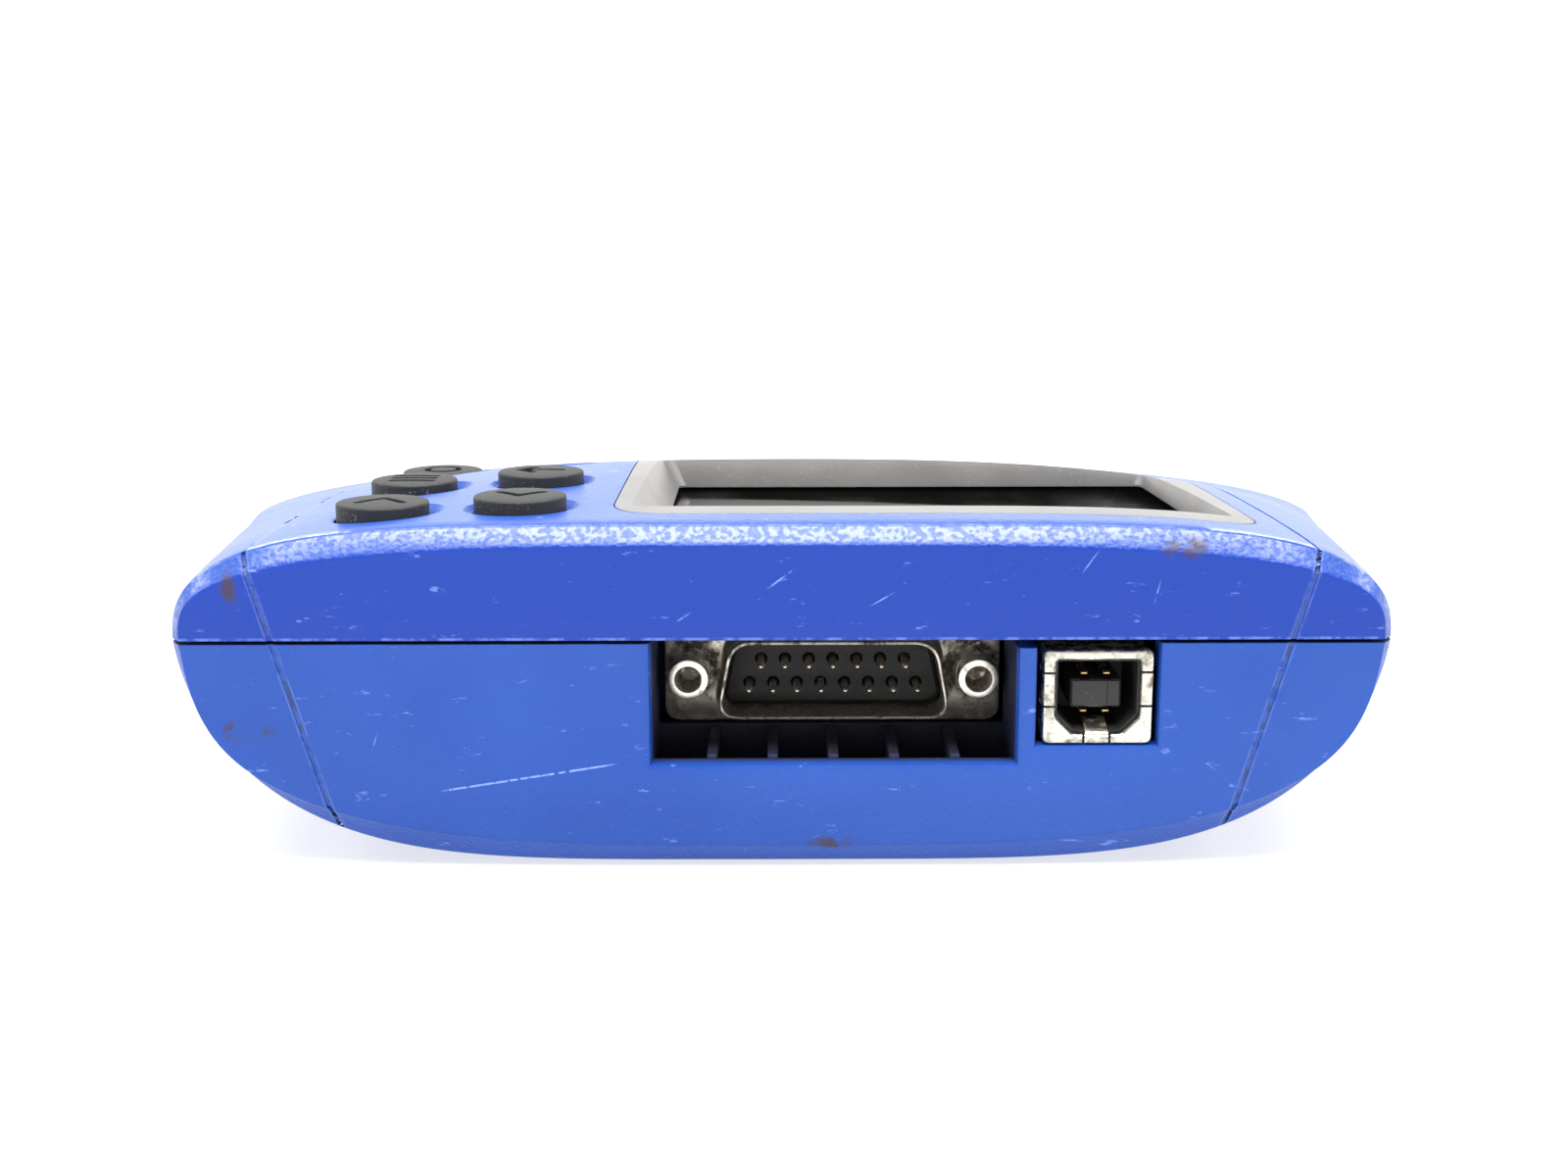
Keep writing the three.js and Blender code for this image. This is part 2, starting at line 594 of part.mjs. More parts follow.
// A conical spring, wound from the plate to the flat end of its cell.
class ConeCoil extends THREE.Curve {
  constructor(length, turns) {
    super();
    Object.assign(this, { length, turns });
  }
  getPoint(t, target = new THREE.Vector3()) {
    const angle = 2 * Math.PI * this.turns * t;
    const radius = 4.6 - 2.4 * t;
    return target.set(radius * Math.cos(angle), this.length * t, radius * Math.sin(angle));
  }
}

// A sprung or a plain plate at one end of a cell, and the double plates that join two neighbours.
function coilOn(column, atRear) {
  const wire = new THREE.Shape();
  wire.absarc(0, 0, 0.35, 0, 2 * Math.PI);
  const coil = new THREE.ExtrudeGeometry(wire, {
    extrudePath: new ConeCoil(2.1, 2.5), steps: 20, bevelEnabled: false, curveSegments: 3 });
  if (atRear) coil.rotateX(Math.PI);
  const y = atRear ? at(bay.rear - 0.9) : at(bay.front + 0.9);
  return solid(coil).translate([column * cell.spacing, y, cell.z]);
}

function contactPlate(columns, atRear) {
  const xs = columns.map((column) => column * cell.spacing);
  const y = atRear ? at(bay.rear - 0.9) : at(bay.front + 0.5);
  const plate = box(Math.min(...xs) - 5.6, Math.max(...xs) + 5.6, y, y + 0.4, cell.z - 5.4, cell.z + 5.4);
  return all([plate, ...columns.filter((c) => (c === 0) === atRear).map((c) => coilOn(c, atRear))]);
}

// Two leads that run up from the tray's end to the board.
function batteryLead(x) {
  const path = new THREE.CatmullRomCurve3([
    new THREE.Vector3(x, at(bay.rear + 2.4), 10),
    new THREE.Vector3(x, at(bay.rear + 3.4), 15),
    new THREE.Vector3(x, at(bay.rear + 2.6), 21.4),
    new THREE.Vector3(x, at(84), 23.2),
    new THREE.Vector3(x, at(77), 23.6),
    new THREE.Vector3(x, at(73.4), 24.6),
    new THREE.Vector3(x, at(73), 26.2),
  ]);
  const section = new THREE.Shape();
  section.absarc(0, 0, 0.65, 0, 2 * Math.PI);
  return solid(new THREE.ExtrudeGeometry(section, { extrudePath: path, steps: 12, curveSegments: 3, bevelEnabled: false }));
}

// ---- screws ----
const crossSlot = (x, y, z) => all([
  box(x - 1.5, x + 1.5, y - 0.3, y + 0.3, z - 1, z + 0.9),
  box(x - 0.3, x + 0.3, y - 1.5, y + 1.5, z - 1, z + 0.9),
]);

function caseScrew(x, d, tip) {
  const y = at(d);
  const head = post(x, y, screwHead - fit - 2, screwHead - fit, 2.2, 12, 2.7);
  return head.add(post(x, y, screwHead - 1, tip, 1.4, 8)).subtract(crossSlot(x, y, screwHead - fit - 2));
}

// ---- the assembly ----
const reader = new THREE.Group();

function add(name, manifold, material) {
  const mesh = new THREE.Mesh(geometryOf(manifold), material);
  mesh.name = name;
  reader.add(mesh);
}

add("upper_cover", upperCover(), finish.caseBlue);
add("lower_cover", lowerCover(), finish.caseBlue);
add("screen_bezel", screenBezel(), finish.trimGrey);
add("screen_window", screenWindow(), finish.clear);
add("lcd_glass", lcdGlass(), finish.screen);
add("lcd_backlight", lcdBacklight(), finish.white);
add("lcd_frame", lcdFrame(), finish.steel);
add("lcd_ribbon", lcdRibbon(), finish.gold);
add("main_board", mainBoard(), finish.boardGreen);
add("processor_chip", processorChip(), finish.black);
add("memory_chip", memoryChip(), finish.black);
add("clock_crystal", crystal(), finish.nickel);
add("status_led", statusLed(), finish.white);
add("status_lens", statusLens(), finish.clear);
add("obd_port_shell", obdShell(), finish.nickel);
add("obd_port_insulator", obdInsulator(), finish.black);
pinSites.forEach((site, i) => add(`obd_pin_${i + 1}`, obdPin(site), finish.gold));
add("jack_screw_left", jackScrew(-1), finish.nickel);
add("jack_screw_right", jackScrew(1), finish.nickel);
add("usb_port_shell", usbShell(), finish.nickel);
add("usb_port_insulator", usbInsulator(), finish.black);
[[-1, -1], [1, -1], [-1, 1], [1, 1]].forEach(([side, row], i) =>
  add(`usb_contact_${i + 1}`, usbContact(side, row), finish.gold));
add("keypad_mat", keypadMat(), finish.rubber);
for (const site of keySites) add(`key_${site.name}`, keyCap(site), finish.rubber);
cellColumns.forEach((column, i) => add(`battery_${i + 1}`, battery(column), finish.cellJacket));
add("battery_plate_front_single", contactPlate([-1], false), finish.nickel);
add("battery_plate_front_double", contactPlate([0, 1], false), finish.nickel);
add("battery_plate_rear_double", contactPlate([-1, 0], true), finish.nickel);
add("battery_plate_rear_single", contactPlate([1], true), finish.nickel);
add("battery_lead_red", batteryLead(-4), finish.red);
add("battery_lead_black", batteryLead(4), finish.black);
add("battery_door", batteryDoor(), finish.caseBlue);
bothSides(caseScrews).forEach((place, i) => add(`case_screw_${i + 1}`, caseScrew(...place), finish.steel));

export default reader;
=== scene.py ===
import json
import math
from functools import reduce

import bpy
import numpy as np
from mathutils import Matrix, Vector

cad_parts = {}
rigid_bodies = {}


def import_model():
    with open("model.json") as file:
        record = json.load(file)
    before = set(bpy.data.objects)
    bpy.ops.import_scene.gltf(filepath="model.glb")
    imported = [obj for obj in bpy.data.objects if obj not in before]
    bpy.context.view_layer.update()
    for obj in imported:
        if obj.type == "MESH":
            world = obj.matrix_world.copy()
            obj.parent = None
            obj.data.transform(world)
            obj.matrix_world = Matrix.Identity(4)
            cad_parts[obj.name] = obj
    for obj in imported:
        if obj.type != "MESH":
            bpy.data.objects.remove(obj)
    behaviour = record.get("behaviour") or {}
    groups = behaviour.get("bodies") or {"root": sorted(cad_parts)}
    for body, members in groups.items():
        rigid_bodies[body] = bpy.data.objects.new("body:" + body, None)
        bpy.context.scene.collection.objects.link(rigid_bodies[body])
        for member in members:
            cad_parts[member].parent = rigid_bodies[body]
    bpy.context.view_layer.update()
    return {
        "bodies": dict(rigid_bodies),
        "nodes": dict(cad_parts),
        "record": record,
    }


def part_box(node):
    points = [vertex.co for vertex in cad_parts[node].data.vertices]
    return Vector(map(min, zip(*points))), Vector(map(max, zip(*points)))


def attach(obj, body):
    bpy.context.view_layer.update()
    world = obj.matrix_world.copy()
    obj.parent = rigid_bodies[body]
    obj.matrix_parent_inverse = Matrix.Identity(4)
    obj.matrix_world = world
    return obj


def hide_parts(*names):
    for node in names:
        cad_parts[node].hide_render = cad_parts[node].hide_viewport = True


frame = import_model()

mm = 0.001


def boxOf(node):  # a CAD node's corners in millimetres
    low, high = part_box(node)
    return np.array(low) / mm, np.array(high) / mm


def middleOf(node):
    low, high = boxOf(node)
    return (low + high) / 2


# the camera: millimetres and degrees, from the middle of the flat end
view = {
    "focal": 45.34, "sensor": 36.0, "height": 76.6, "away": 209.6, "side": 0.37, "pitch": 12.0, "roll": 0.12,
}
caseLow, caseHigh = boxOf("lower_cover")
frontY = caseLow[1]

cameraData = bpy.data.cameras.new("camera")
cameraData.lens = view["focal"]
cameraData.sensor_width = view["sensor"]
cameraData.clip_start = 0.01
camera = bpy.data.objects.new("camera", cameraData)
bpy.context.collection.objects.link(camera)
camera.location = Vector((view["side"], frontY - view["away"], view["height"])) * mm
camera.rotation_euler = (math.radians(90 - view["pitch"]), math.radians(view["roll"]), 0)
bpy.context.scene.camera = camera

# panel lamps: place and size in metres, power in watts
lamps = [
    {"name": "overheadPanel", "place": (0.0, -0.34, 0.88), "size": (1.1, 0.3), "power": 15.0},
    {"name": "deckPanel", "place": (0.0, 0.1, 0.42), "size": (0.36, 0.2), "power": 1.6},
    {"name": "frontPanel", "place": (-0.35, -0.9, 0.5), "size": (0.9, 0.6), "power": 0.3},
    {"name": "backPanel", "place": (0.0, 1.4, 0.42), "size": (2.6, 0.7), "power": 6.0},
    {"name": "leftPanel", "place": (-0.8, 0.15, 0.6), "size": (0.5, 0.3), "power": 3.0},
    {"name": "rightPanel", "place": (0.8, 0.15, 0.6), "size": (0.5, 0.3), "power": 3.0},
]
lampAim = Vector((0, 0, 0.02))
for lamp in lamps:
    data = bpy.data.lights.new(lamp["name"], "AREA")
    data.shape = "RECTANGLE"
    data.size, data.size_y = lamp["size"]
    data.energy = lamp["power"]
    light = bpy.data.objects.new(lamp["name"], data)
    bpy.context.collection.objects.link(light)
    light.location = lamp["place"]
    light.rotation_euler = (lampAim - light.location).to_track_quat("-Z", "Y").to_euler()

# the room: white round the horizon, dimmer above, where the ceiling is
room = {"From Min": 0.2, "From Max": 0.36, "To Min": 1.7, "To Max": 0.3}
world = bpy.data.worlds.new("studio")
bpy.context.scene.world = world
world.use_nodes = True
sky = world.node_tree
place = sky.nodes.new("ShaderNodeTexCoord")
height = sky.nodes.new("ShaderNodeSeparateXYZ")
fade = sky.nodes.new("ShaderNodeMapRange")
fade.interpolation_type = "SMOOTHSTEP"
for label, value in room.items():
    fade.inputs[label].default_value = value
sky.links.new(place.outputs["Generated"], height.inputs[0])
sky.links.new(height.outputs["Z"], fade.inputs["Value"])
sky.nodes["Background"].inputs["Color"].default_value = (1, 1, 1, 1)
sky.links.new(fade.outputs["Result"], sky.nodes["Background"].inputs["Strength"])
bpy.context.scene.view_settings.view_transform = "Standard"
print("stage: camera and lights")


def operator(name, reflected=False):  # a method for one sum; reflected, its own wire comes last
    def method(self, *others):
        return self.maths(name, *others, self) if reflected else self.maths(name, self, *others)
    return method


class Wire:  # a socket that takes part in ordinary arithmetic
    __add__, __radd__ = operator("ADD"), operator("ADD", True)
    __sub__, __rsub__ = operator("SUBTRACT"), operator("SUBTRACT", True)
    __mul__, __rmul__ = operator("MULTIPLY"), operator("MULTIPLY", True)
    __truediv__, __pow__, __abs__ = operator("DIVIDE"), operator("POWER"), operator("ABSOLUTE")
    over, atMost = operator("MAXIMUM"), operator("MINIMUM")  # the larger of two, and the smaller

    def __init__(self, finish, socket):
        self.finish, self.socket = finish, socket

    def maths(self, name, *values):
        return self.finish.node("ShaderNodeMath", {"operation": name}, *values)

    def ramp(self, low, high):  # 0 at low, 1 at high and smooth between; low may be the larger
        smooth = {"interpolation_type": "SMOOTHSTEP"}
        return self.finish.node("ShaderNodeMapRange", smooth, self, low, high, 0.0, 1.0)


class Finish:  # one material, built from wires; its x, y and z are in millimetres
    def __init__(self, name):
        self.material = bpy.data.materials.new(name)
        self.material.use_nodes = True
        self.tree = self.material.node_tree
        self.shader = self.tree.nodes["Principled BSDF"]
        place = Wire(self, self.tree.nodes.new("ShaderNodeTexCoord").outputs["Object"])
        self.place = self.node("ShaderNodeVectorMath", {"operation": "SCALE"}, place, Scale=1 / mm)
        split = self.node("ShaderNodeSeparateXYZ", {}, self.place).socket.node
        self.x, self.y, self.z = (Wire(self, split.outputs[axis]) for axis in "XYZ")

    def fill(self, socket, value):
        if isinstance(value, Wire):
            self.tree.links.new(value.socket, socket)
        elif socket.type == "RGBA":
            socket.default_value = (*value, 1)
        else:
            socket.default_value = value

    def node(self, kind, settings, *values, **named):
        made = self.tree.nodes.new(kind)
        for key, value in settings.items():
            setattr(made, key, value)
        for socket, value in zip([s for s in made.inputs if s.enabled], values):
            self.fill(socket, value)
        for key, value in named.items():
            self.fill(made.inputs[key], value)
        return Wire(self, next(s for s in made.outputs if s.enabled))

    def noise(self, size, detail=2.0, stretch=None, roughness=0.5):  # size of a blotch in millimetres
        place = self.place
        if stretch:
            place = self.node("ShaderNodeVectorMath", {"operation": "MULTIPLY"}, place, stretch)
        return self.node("ShaderNodeTexNoise", {}, place, Scale=1 / size, Detail=detail, Roughness=roughness)

    def mix(self, factor, a, b):  # a colour between a and b
        return self.node("ShaderNodeMix", {"data_type": "RGBA", "clamp_factor": True}, factor, a, b)

    def line(self, x0, z0, x1, z1, width):  # a straight mark on a face that looks along Y
        length = math.hypot(x1 - x0, z1 - z0)
        ux, uz = (x1 - x0) / length, (z1 - z0) / length
        along = (self.x - x0) * ux + (self.z - z0) * uz
        off = abs((self.x - x0) * -uz + (self.z - z0) * ux)
        ends = along.ramp(-0.3, 1.5) * along.ramp(length + 0.3, length - 2.0)
        return off.ramp(width, width * 0.35) * ends

    def spot(self, x, z, width, height):  # a soft round patch on such a face
        dx, dz = (self.x - x) / width, (self.z - z) / height
        return (dx * dx + dz * dz).ramp(1.0, 0.1)

    def set(self, **values):
        for key, value in values.items():
            self.fill(self.shader.inputs[key.replace("_", " ")], value)

    def bump(self, height, depth):  # depth in millimetres for a height of 1
        self.set(Normal=self.node("ShaderNodeBump", {}, Strength=1.0, Distance=depth * mm, Height=height))
        return self.material


# the 15-way plug: places from the flat end, sizes in millimetres
plug = {
    "flange": 14.7, "half": 13.45, "tall": 4.6, "corner": 2.6, "slant": 10, "reach": 5.9, "skin": 0.42,
    "pitch": 2.77, "rows": 2.84, "screwSpacing": 33.32, "pinRadius": 0.42,
}
plugX, _, plugZ = middleOf("obd_port_shell")

# the cable recess round it
port = {
    "left": -14.4, "right": 25.9, "sill": 12.1, "floor": 5.5, "back": 14.2, "wall": 1.5, "ribTop": 12.6,
    "ribs": 5, "ribPitch": 6.78, "ribWidth": 1.2, "mouthEase": 0.8,
}

caseLook = {
    # lid is a deeper blue, painted as shade on the end of the lid
    "deep": (0.0115, 0.062, 0.335), "pale": (0.018, 0.076, 0.372), "lid": (0.002, 0.033, 0.31),
    "scuff": (0.19, 0.30, 0.78), "grimeAndShade": (0.012, 0.011, 0.012), "earth": (0.055, 0.035, 0.022),
    "seam": 26.0, "groove": (55.8, 0.294),  # how far out the two lanes cross the seam, and their lean
    "scratches": [  # both ends as x and z, then the width
        (-37.8, 9.1, -18.2, 12.2, 0.16), (-1.6, 31.9, 1.6, 34.3, 0.13), (-11.6, 28.2, -9.8, 29.4, 0.16),
        (32.6, 33.6, 34.4, 36.2, 0.12), (9.6, 30.0, 12.4, 31.6, 0.1), (-45.2, 13.9, -44.6, 15.8, 0.12),
        (40.5, 30.2, 41.2, 33.0, 0.1), (-29, 21.4, -27.6, 21.9, 0.12), (46.8, 12.2, 48.2, 11.2, 0.1),
    ],
    "smudges": [  # x, z, width and height
        (-60.1, 31.6, 1.1, 3.2), (43.8, 36.4, 3.4, 1.6), (-60.4, 15.8, 1.5, 1.6),
        (-56.4, 15.6, 1.2, 1.4), (6.5, 3.0, 4.5, 1.0), (3.5, 13.0, 2.2, 0.7),
    ],
}


def casePlastic():
    f, look = Finish("caseBlue"), caseLook
    grooveFoot, grooveLean = look["groove"]
    up, depth = f.z - look["seam"], f.y - frontY
    tone = f.noise(26, 3).ramp(0.3, 0.7)
    grain = f.noise(0.62, 1.5)
    speck = f.noise(0.42, 0)
    fine = f.noise(2.2, 4, roughness=0.65)
    onFace = f.y.ramp(frontY + 0.4, frontY + 0.1)
    colour = f.mix(tone, look["deep"], look["pale"])
    lidShade = up.ramp(-0.1, 0.1) * depth.ramp(0.5, 0.02) * 0.85
    colour = f.mix(lidShade, colour, look["lid"])  # painted shade: the end of the lid is painted a deeper blue than the rest

    # pale scuffs: short rubs all over, scratches on the flat end and the worn lower edge of the lid; the
    # lanes' edges are wear and painted highlight
    rubs = f.noise(1.3, 5, stretch=(0.35, 0.35, 1.2), roughness=0.7).ramp(0.635, 0.71)
    marks = reduce(Wire.over, [f.line(*scratch) for scratch in look["scratches"]])
    broken = f.noise(0.9, 2).ramp(0.36, 0.5)
    lowerEdge = up.ramp(0.18, 0.24) * up.ramp(0.62, 0.4) * fine.ramp(0.4, 0.6) * onFace
    lane = abs(abs(f.x) - (up * grooveLean + grooveFoot))
    # the pale edges of the lanes are wear and a painted highlight
    laneWearAndHighlight = lane.ramp(0.62, 0.4) * fine.ramp(0.35, 0.6) * 0.28
    scuffed = (marks * onFace * broken).over(rubs * 0.55).over(lowerEdge * 0.5).over(laneWearAndHighlight)
    colour = f.mix(scuffed, colour, look["scuff"])

    # dirt packed in the lanes and along the seam, painted shade in the cable recess, then brown smudges
    packed = lane.ramp(0.5, 0.15) * fine.ramp(0.45, 0.62) * (0.55 - depth.ramp(1.5, 4.0) * 0.4)
    alongSeam = abs(up).ramp(0.30, 0.16) * fine.ramp(0.3, 0.5) * 0.8
    left, right, floor, back = port["left"], port["right"], port["floor"], port["back"] + port["wall"]
    # painted shade: the inside of the cable recess, past its mouth, is painted dark
    recessShade = f.x.ramp(left - 0.5, left + 0.1) * f.x.ramp(right + 0.5, right - 0.1)
    recessShade = recessShade * f.z.ramp(floor - 1.3, floor + 0.1) * (0.2 - up).ramp(0, 0.1)
    recessShade = recessShade * depth.ramp(0.2, 2.6) * depth.ramp(back + 1.8, back + 0.3)
    # the dark mix below is dirt in the lanes and along the seam, and painted shade in the recess
    grimeAndShade = packed.over(alongSeam).over(recessShade * 0.95)
    colour = f.mix(grimeAndShade, colour, look["grimeAndShade"])
    smudges = reduce(Wire.over, [f.spot(*smudge) for smudge in look["smudges"]])
    smudged = smudges * fine.ramp(0.42, 0.62) * f.y.ramp(frontY + 6, frontY + 3)
    colour = f.mix(smudged * 0.8, colour, look["earth"])

    # the front edge, which is handled most, is polished
    edge = up.ramp(0.5, 3.0) * depth.ramp(0.1, 0.5) * depth.ramp(4.5, 1.6)
    polish = edge * (0.3 + grain.ramp(0.42, 0.58) * 0.8)
    rough = 0.33 + grimeAndShade * 0.35 + smudged * 0.25 - scuffed * 0.06 + tone * 0.05
    f.set(Base_Color=colour, Roughness=rough, Specular_IOR_Level=0.33,
          Coat_Weight=polish * (1 - grimeAndShade), Coat_Roughness=0.2)
    return f.bump(grain * 0.75 + speck * 0.55 - scuffed * 0.6, 0.10)


def plainPlastic(name, colour, shade, roughness, grainSize, depth, dust=None):
    f = Finish(name)
    tone = f.noise(9, 3).ramp(0.3, 0.7)
    grain = f.noise(grainSize, 2)
    mixed = f.mix(tone, colour, shade)
    rough = roughness + (grain - 0.5) * 0.1
    if dust:
        specks = f.noise(0.3, 1).ramp(0.66, 0.71) * f.noise(5, 2).ramp(0.42, 0.6)
        mixed = f.mix(specks * 0.6, mixed, dust)
        rough = rough + specks * 0.2
    f.set(Base_Color=mixed, Roughness=rough)
    return f.bump(grain, depth)


# the near-black dust colour of the board is painted shade on its edge in the recess
boardLook = {"mask": (0.006, 0.075, 0.026), "track": (0.010, 0.11, 0.035), "dust": (0.005, 0.005, 0.005)}


def boardMask():
    f = Finish("solderMask")
    tracks = f.noise(1.4, 3, stretch=(1, 0.25, 1)).ramp(0.45, 0.55)
    recessEdgeShade = f.y.ramp(frontY + 9, frontY + 5.5)  # the edge that shows in the cable recess, painted near-black as shade
    colour = f.mix(tracks, boardLook["mask"], boardLook["track"])
    f.set(Base_Color=f.mix(recessEdgeShade * 0.96, colour, boardLook["dust"]), Roughness=0.35 + recessEdgeShade * 0.4)
    return f.bump(tracks, 0.01)


def jackShade(f):  # painted shade in the jack screws' bores, round their hexagons and along the top of the flange
    across = abs(f.x - plugX) - plug["screwSpacing"] / 2
    up = f.z - plugZ
    radius = (across * across + up * up) ** 0.5
    ring = radius.ramp(2.35, 2.6) * radius.ramp(4.2, 2.9)
    bore = radius.ramp(1.62, 1.4)
    return (ring * 0.75 + bore * 0.85 + up.ramp(3.0, 5.8) * 0.5) * f.noise(0.8, 3).ramp(0.25, 0.5)


def agedMetal(name, bright, tarnish, roughness, amount, brush=(1, 1, 1), jackShaded=False):
    f = Finish(name)
    cloud = f.noise(1.7, 5, roughness=0.68).ramp(0.62 - amount * 0.35, 0.80 - amount * 0.2)
    if jackShaded:
        # painted shade round the jack screws, mixed in with the tarnish
        cloud = (cloud + jackShade(f)).atMost(1.0)
    hair = f.noise(0.22, 2, stretch=brush)
    colour = f.mix(cloud, bright, tarnish)
    rough = roughness + cloud * 0.3 + (hair - 0.5) * 0.12
    f.set(Base_Color=colour, Metallic=1 - cloud * 0.55, Roughness=rough)
    return f.bump(hair + cloud * 0.6, 0.012)


paneLook = {
    "border": (0.005, 0.0045, 0.0045), "display": (0.010, 0.0105, 0.0095), "borderX": 5.0, "borderY": 4.0,
}


def screenPane():  # black printed border round the display that lies behind it
    f = Finish("screenPane")
    low, high = boxOf("lcd_glass")
    x, y = paneLook["borderX"], paneLook["borderY"]
    inX = (f.x - low[0]).ramp(x, x + 0.4) * (high[0] - f.x).ramp(x, x + 0.4)
    inY = (f.y - low[1]).ramp(y, y + 0.4) * (high[1] - f.y).ramp(y, y + 0.4)
    smear = f.noise(11, 4, stretch=(1, 0.4, 1)).ramp(0.4, 0.75)
    colour = f.mix(inX * inY, paneLook["border"], paneLook["display"])
    f.set(Base_Color=colour, Roughness=0.06 + smear * 0.12, Coat_Weight=0.6, Coat_Roughness=0.05)
    return f.bump(smear, 0.004)


# plastics: name, colour, shade, roughness, size and depth of the grain, dust
# metals: name, colour, tarnish, roughness, how much is tarnished
materials = {
    "case_blue": casePlastic(),
    "trim_grey": plainPlastic("trimGrey", (0.168, 0.161, 0.155), (0.134, 0.130, 0.127), 0.42, 0.4, 0.03,
                              (0.3, 0.28, 0.25)),
    "screen_clear": screenPane(),
    "display_grey": plainPlastic("displayGlass", (0.035, 0.04, 0.032), (0.03, 0.034, 0.03), 0.2, 1.5, 0.002),
    "display_white": plainPlastic("lightGuide", (0.8, 0.8, 0.77), (0.74, 0.74, 0.7), 0.4, 1.0, 0.004),
    "board_green": boardMask(),
    "moulded_black": plainPlastic("mouldedBlack", (0.018, 0.018, 0.019), (0.012, 0.012, 0.012), 0.5, 0.4, 0.02,
                                  (0.10, 0.085, 0.07)),
    "key_rubber": plainPlastic("keyRubber", (0.0115, 0.012, 0.0125), (0.008, 0.0082, 0.0085), 0.58, 0.30, 0.04,
                               (0.22, 0.22, 0.21)),
    "dull_nickel": agedMetal("dullNickel", (0.60, 0.56, 0.48), (0.07, 0.055, 0.04), 0.32, 0.5, jackShaded=True),
    "plain_steel": agedMetal("zincSteel", (0.55, 0.56, 0.58), (0.28, 0.27, 0.25), 0.34, 0.3),
    "gold_plate": agedMetal("goldFlash", (0.80, 0.58, 0.24), (0.42, 0.28, 0.12), 0.26, 0.25),
    "cell_jacket": plainPlastic("cellSleeve", (0.03, 0.04, 0.055), (0.022, 0.03, 0.04), 0.28, 2.0, 0.003),
    "wire_red": plainPlastic("wireRed", (0.42, 0.02, 0.015), (0.33, 0.015, 0.012), 0.45, 0.6, 0.006),
}
usbTin = agedMetal("brightTin", (0.64, 0.62, 0.55), (0.15, 0.12, 0.085), 0.26, 0.42, (0.2, 1, 1))
jackNickel = agedMetal("jackNickel", (0.84, 0.81, 0.72), (0.22, 0.18, 0.13), 0.3, 0.25, jackShaded=True)
pinSilver = agedMetal("pinPlate", (0.72, 0.64, 0.54), (0.35, 0.27, 0.2), 0.3, 0.3)
deepBlack = plainPlastic("deepBlack", (0.006, 0.006, 0.006), (0.004, 0.004, 0.004), 0.6, 0.4, 0.02,
                         (0.03, 0.025, 0.02))

slotOf = {row["node"]: row["material_slot"] for row in frame["record"]["subparts"]}
for name, obj in frame["nodes"].items():
    obj.data.materials.clear()
    obj.data.materials.append(materials[slotOf[name]])
print("stage: materials")


# mesh tools, all in millimetres
def meshPiece(name, vertices, faces):
    mesh = bpy.data.meshes.new(name)
    points = np.asarray(vertices, float) * mm
    mesh.from_pydata(points.tolist(), [], [list(map(int, face)) for face in faces])
    mesh.validate()
    obj = bpy.data.objects.new(name, mesh)
    bpy.context.collection.objects.link(obj)
    return obj


def loft(rings):  # closed rings of equal length, each an array of points, capped at both ends
    count = len(rings[0])
    faces = []
    for r in range(len(rings) - 1):
        a, b = r * count, (r + 1) * count
        faces += [(a + i, b + i, b + (i + 1) % count, a + (i + 1) % count) for i in range(count)]
    faces += [list(range(count)), [(len(rings) - 1) * count + i for i in range(count)][::-1]]
    piece = meshPiece("loft", np.vstack(rings), faces)
    turnOutward(piece)
    return piece


def turnOutward(piece):
    mesh = piece.data
    total = 0.0
    mesh.calc_loop_triangles()
    for tri in mesh.loop_triangles:
        a, b, c = (mesh.vertices[i].co for i in tri.vertices)
        total += a.dot(b.cross(c))
    if total < 0:
        mesh.flip_normals()


def rounded(corners, radius, steps=6):  # a polygon whose corners are arcs
    points = []
    for i, corner in enumerate(corners):
        p, before, after = (np.array(corners[j % len(corners)], float) for j in (i, i - 1, i + 1))
        start = p + (before - p) / np.linalg.norm(before - p) * radius
        end = p + (after - p) / np.linalg.norm(after - p) * radius
        for t in np.linspace(0, 1, steps + 1):
            points.append((1 - t) ** 2 * start + 2 * t * (1 - t) * p + t * t * end)
    return np.array(points)


def rectangle(x0, x1, y0, y1):
    return [(x0, y0), (x1, y0), (x1, y1), (x0, y1)]


def grown(outline, amount):  # each point moved out from the middle of its own side
    outline = np.asarray(outline, float)
    middle = (outline.min(0) + outline.max(0)) / 2
    half = (outline.max(0) - outline.min(0)) / 2
    return middle + (outline - middle) * (half + amount) / half


def alongZ(outline, z):
    return np.column_stack([outline, np.full(len(outline), z)])


def alongY(outline, y):
    outline = np.asarray(outline, float)
    return np.column_stack([outline[:, 0], np.full(len(outline), y), outline[:, 1]])


def block(x0, x1, y0, y1, z0, z1, soft=0.0):
    outline = rectangle(x0, x1, y0, y1)
    if not soft:
        return loft([alongZ(np.array(outline, float), z) for z in (z0, z1)])
    wide = rounded(outline, soft, 3)
    inner, nearly = grown(wide, -soft * 0.6), grown(wide, -soft * 0.15)
    steps = [(inner, z0), (nearly, z0 + soft * 0.35), (wide, z0 + soft),
             (wide, z1 - soft), (nearly, z1 - soft * 0.35), (inner, z1)]
    return loft([alongZ(ring, z) for ring, z in steps])


def slab(z0, z1):  # wide enough to cut right across the case
    return block(-200, 200, -200, 200, z0, z1)


def spun(profile, x, y, segments=64, lay=alongZ):  # profile of (radius, distance), from the axis to the axis
    angles = np.arange(segments) * 2 * math.pi / segments
    circle = np.column_stack([np.cos(angles), np.sin(angles)])
    return loft([lay(np.array([x, y]) + max(r, 1e-3) * circle, run) for r, run in profile])


def spunAlongY(profile, x, z, segments=48):
    return spun(profile, x, z, segments, alongY)


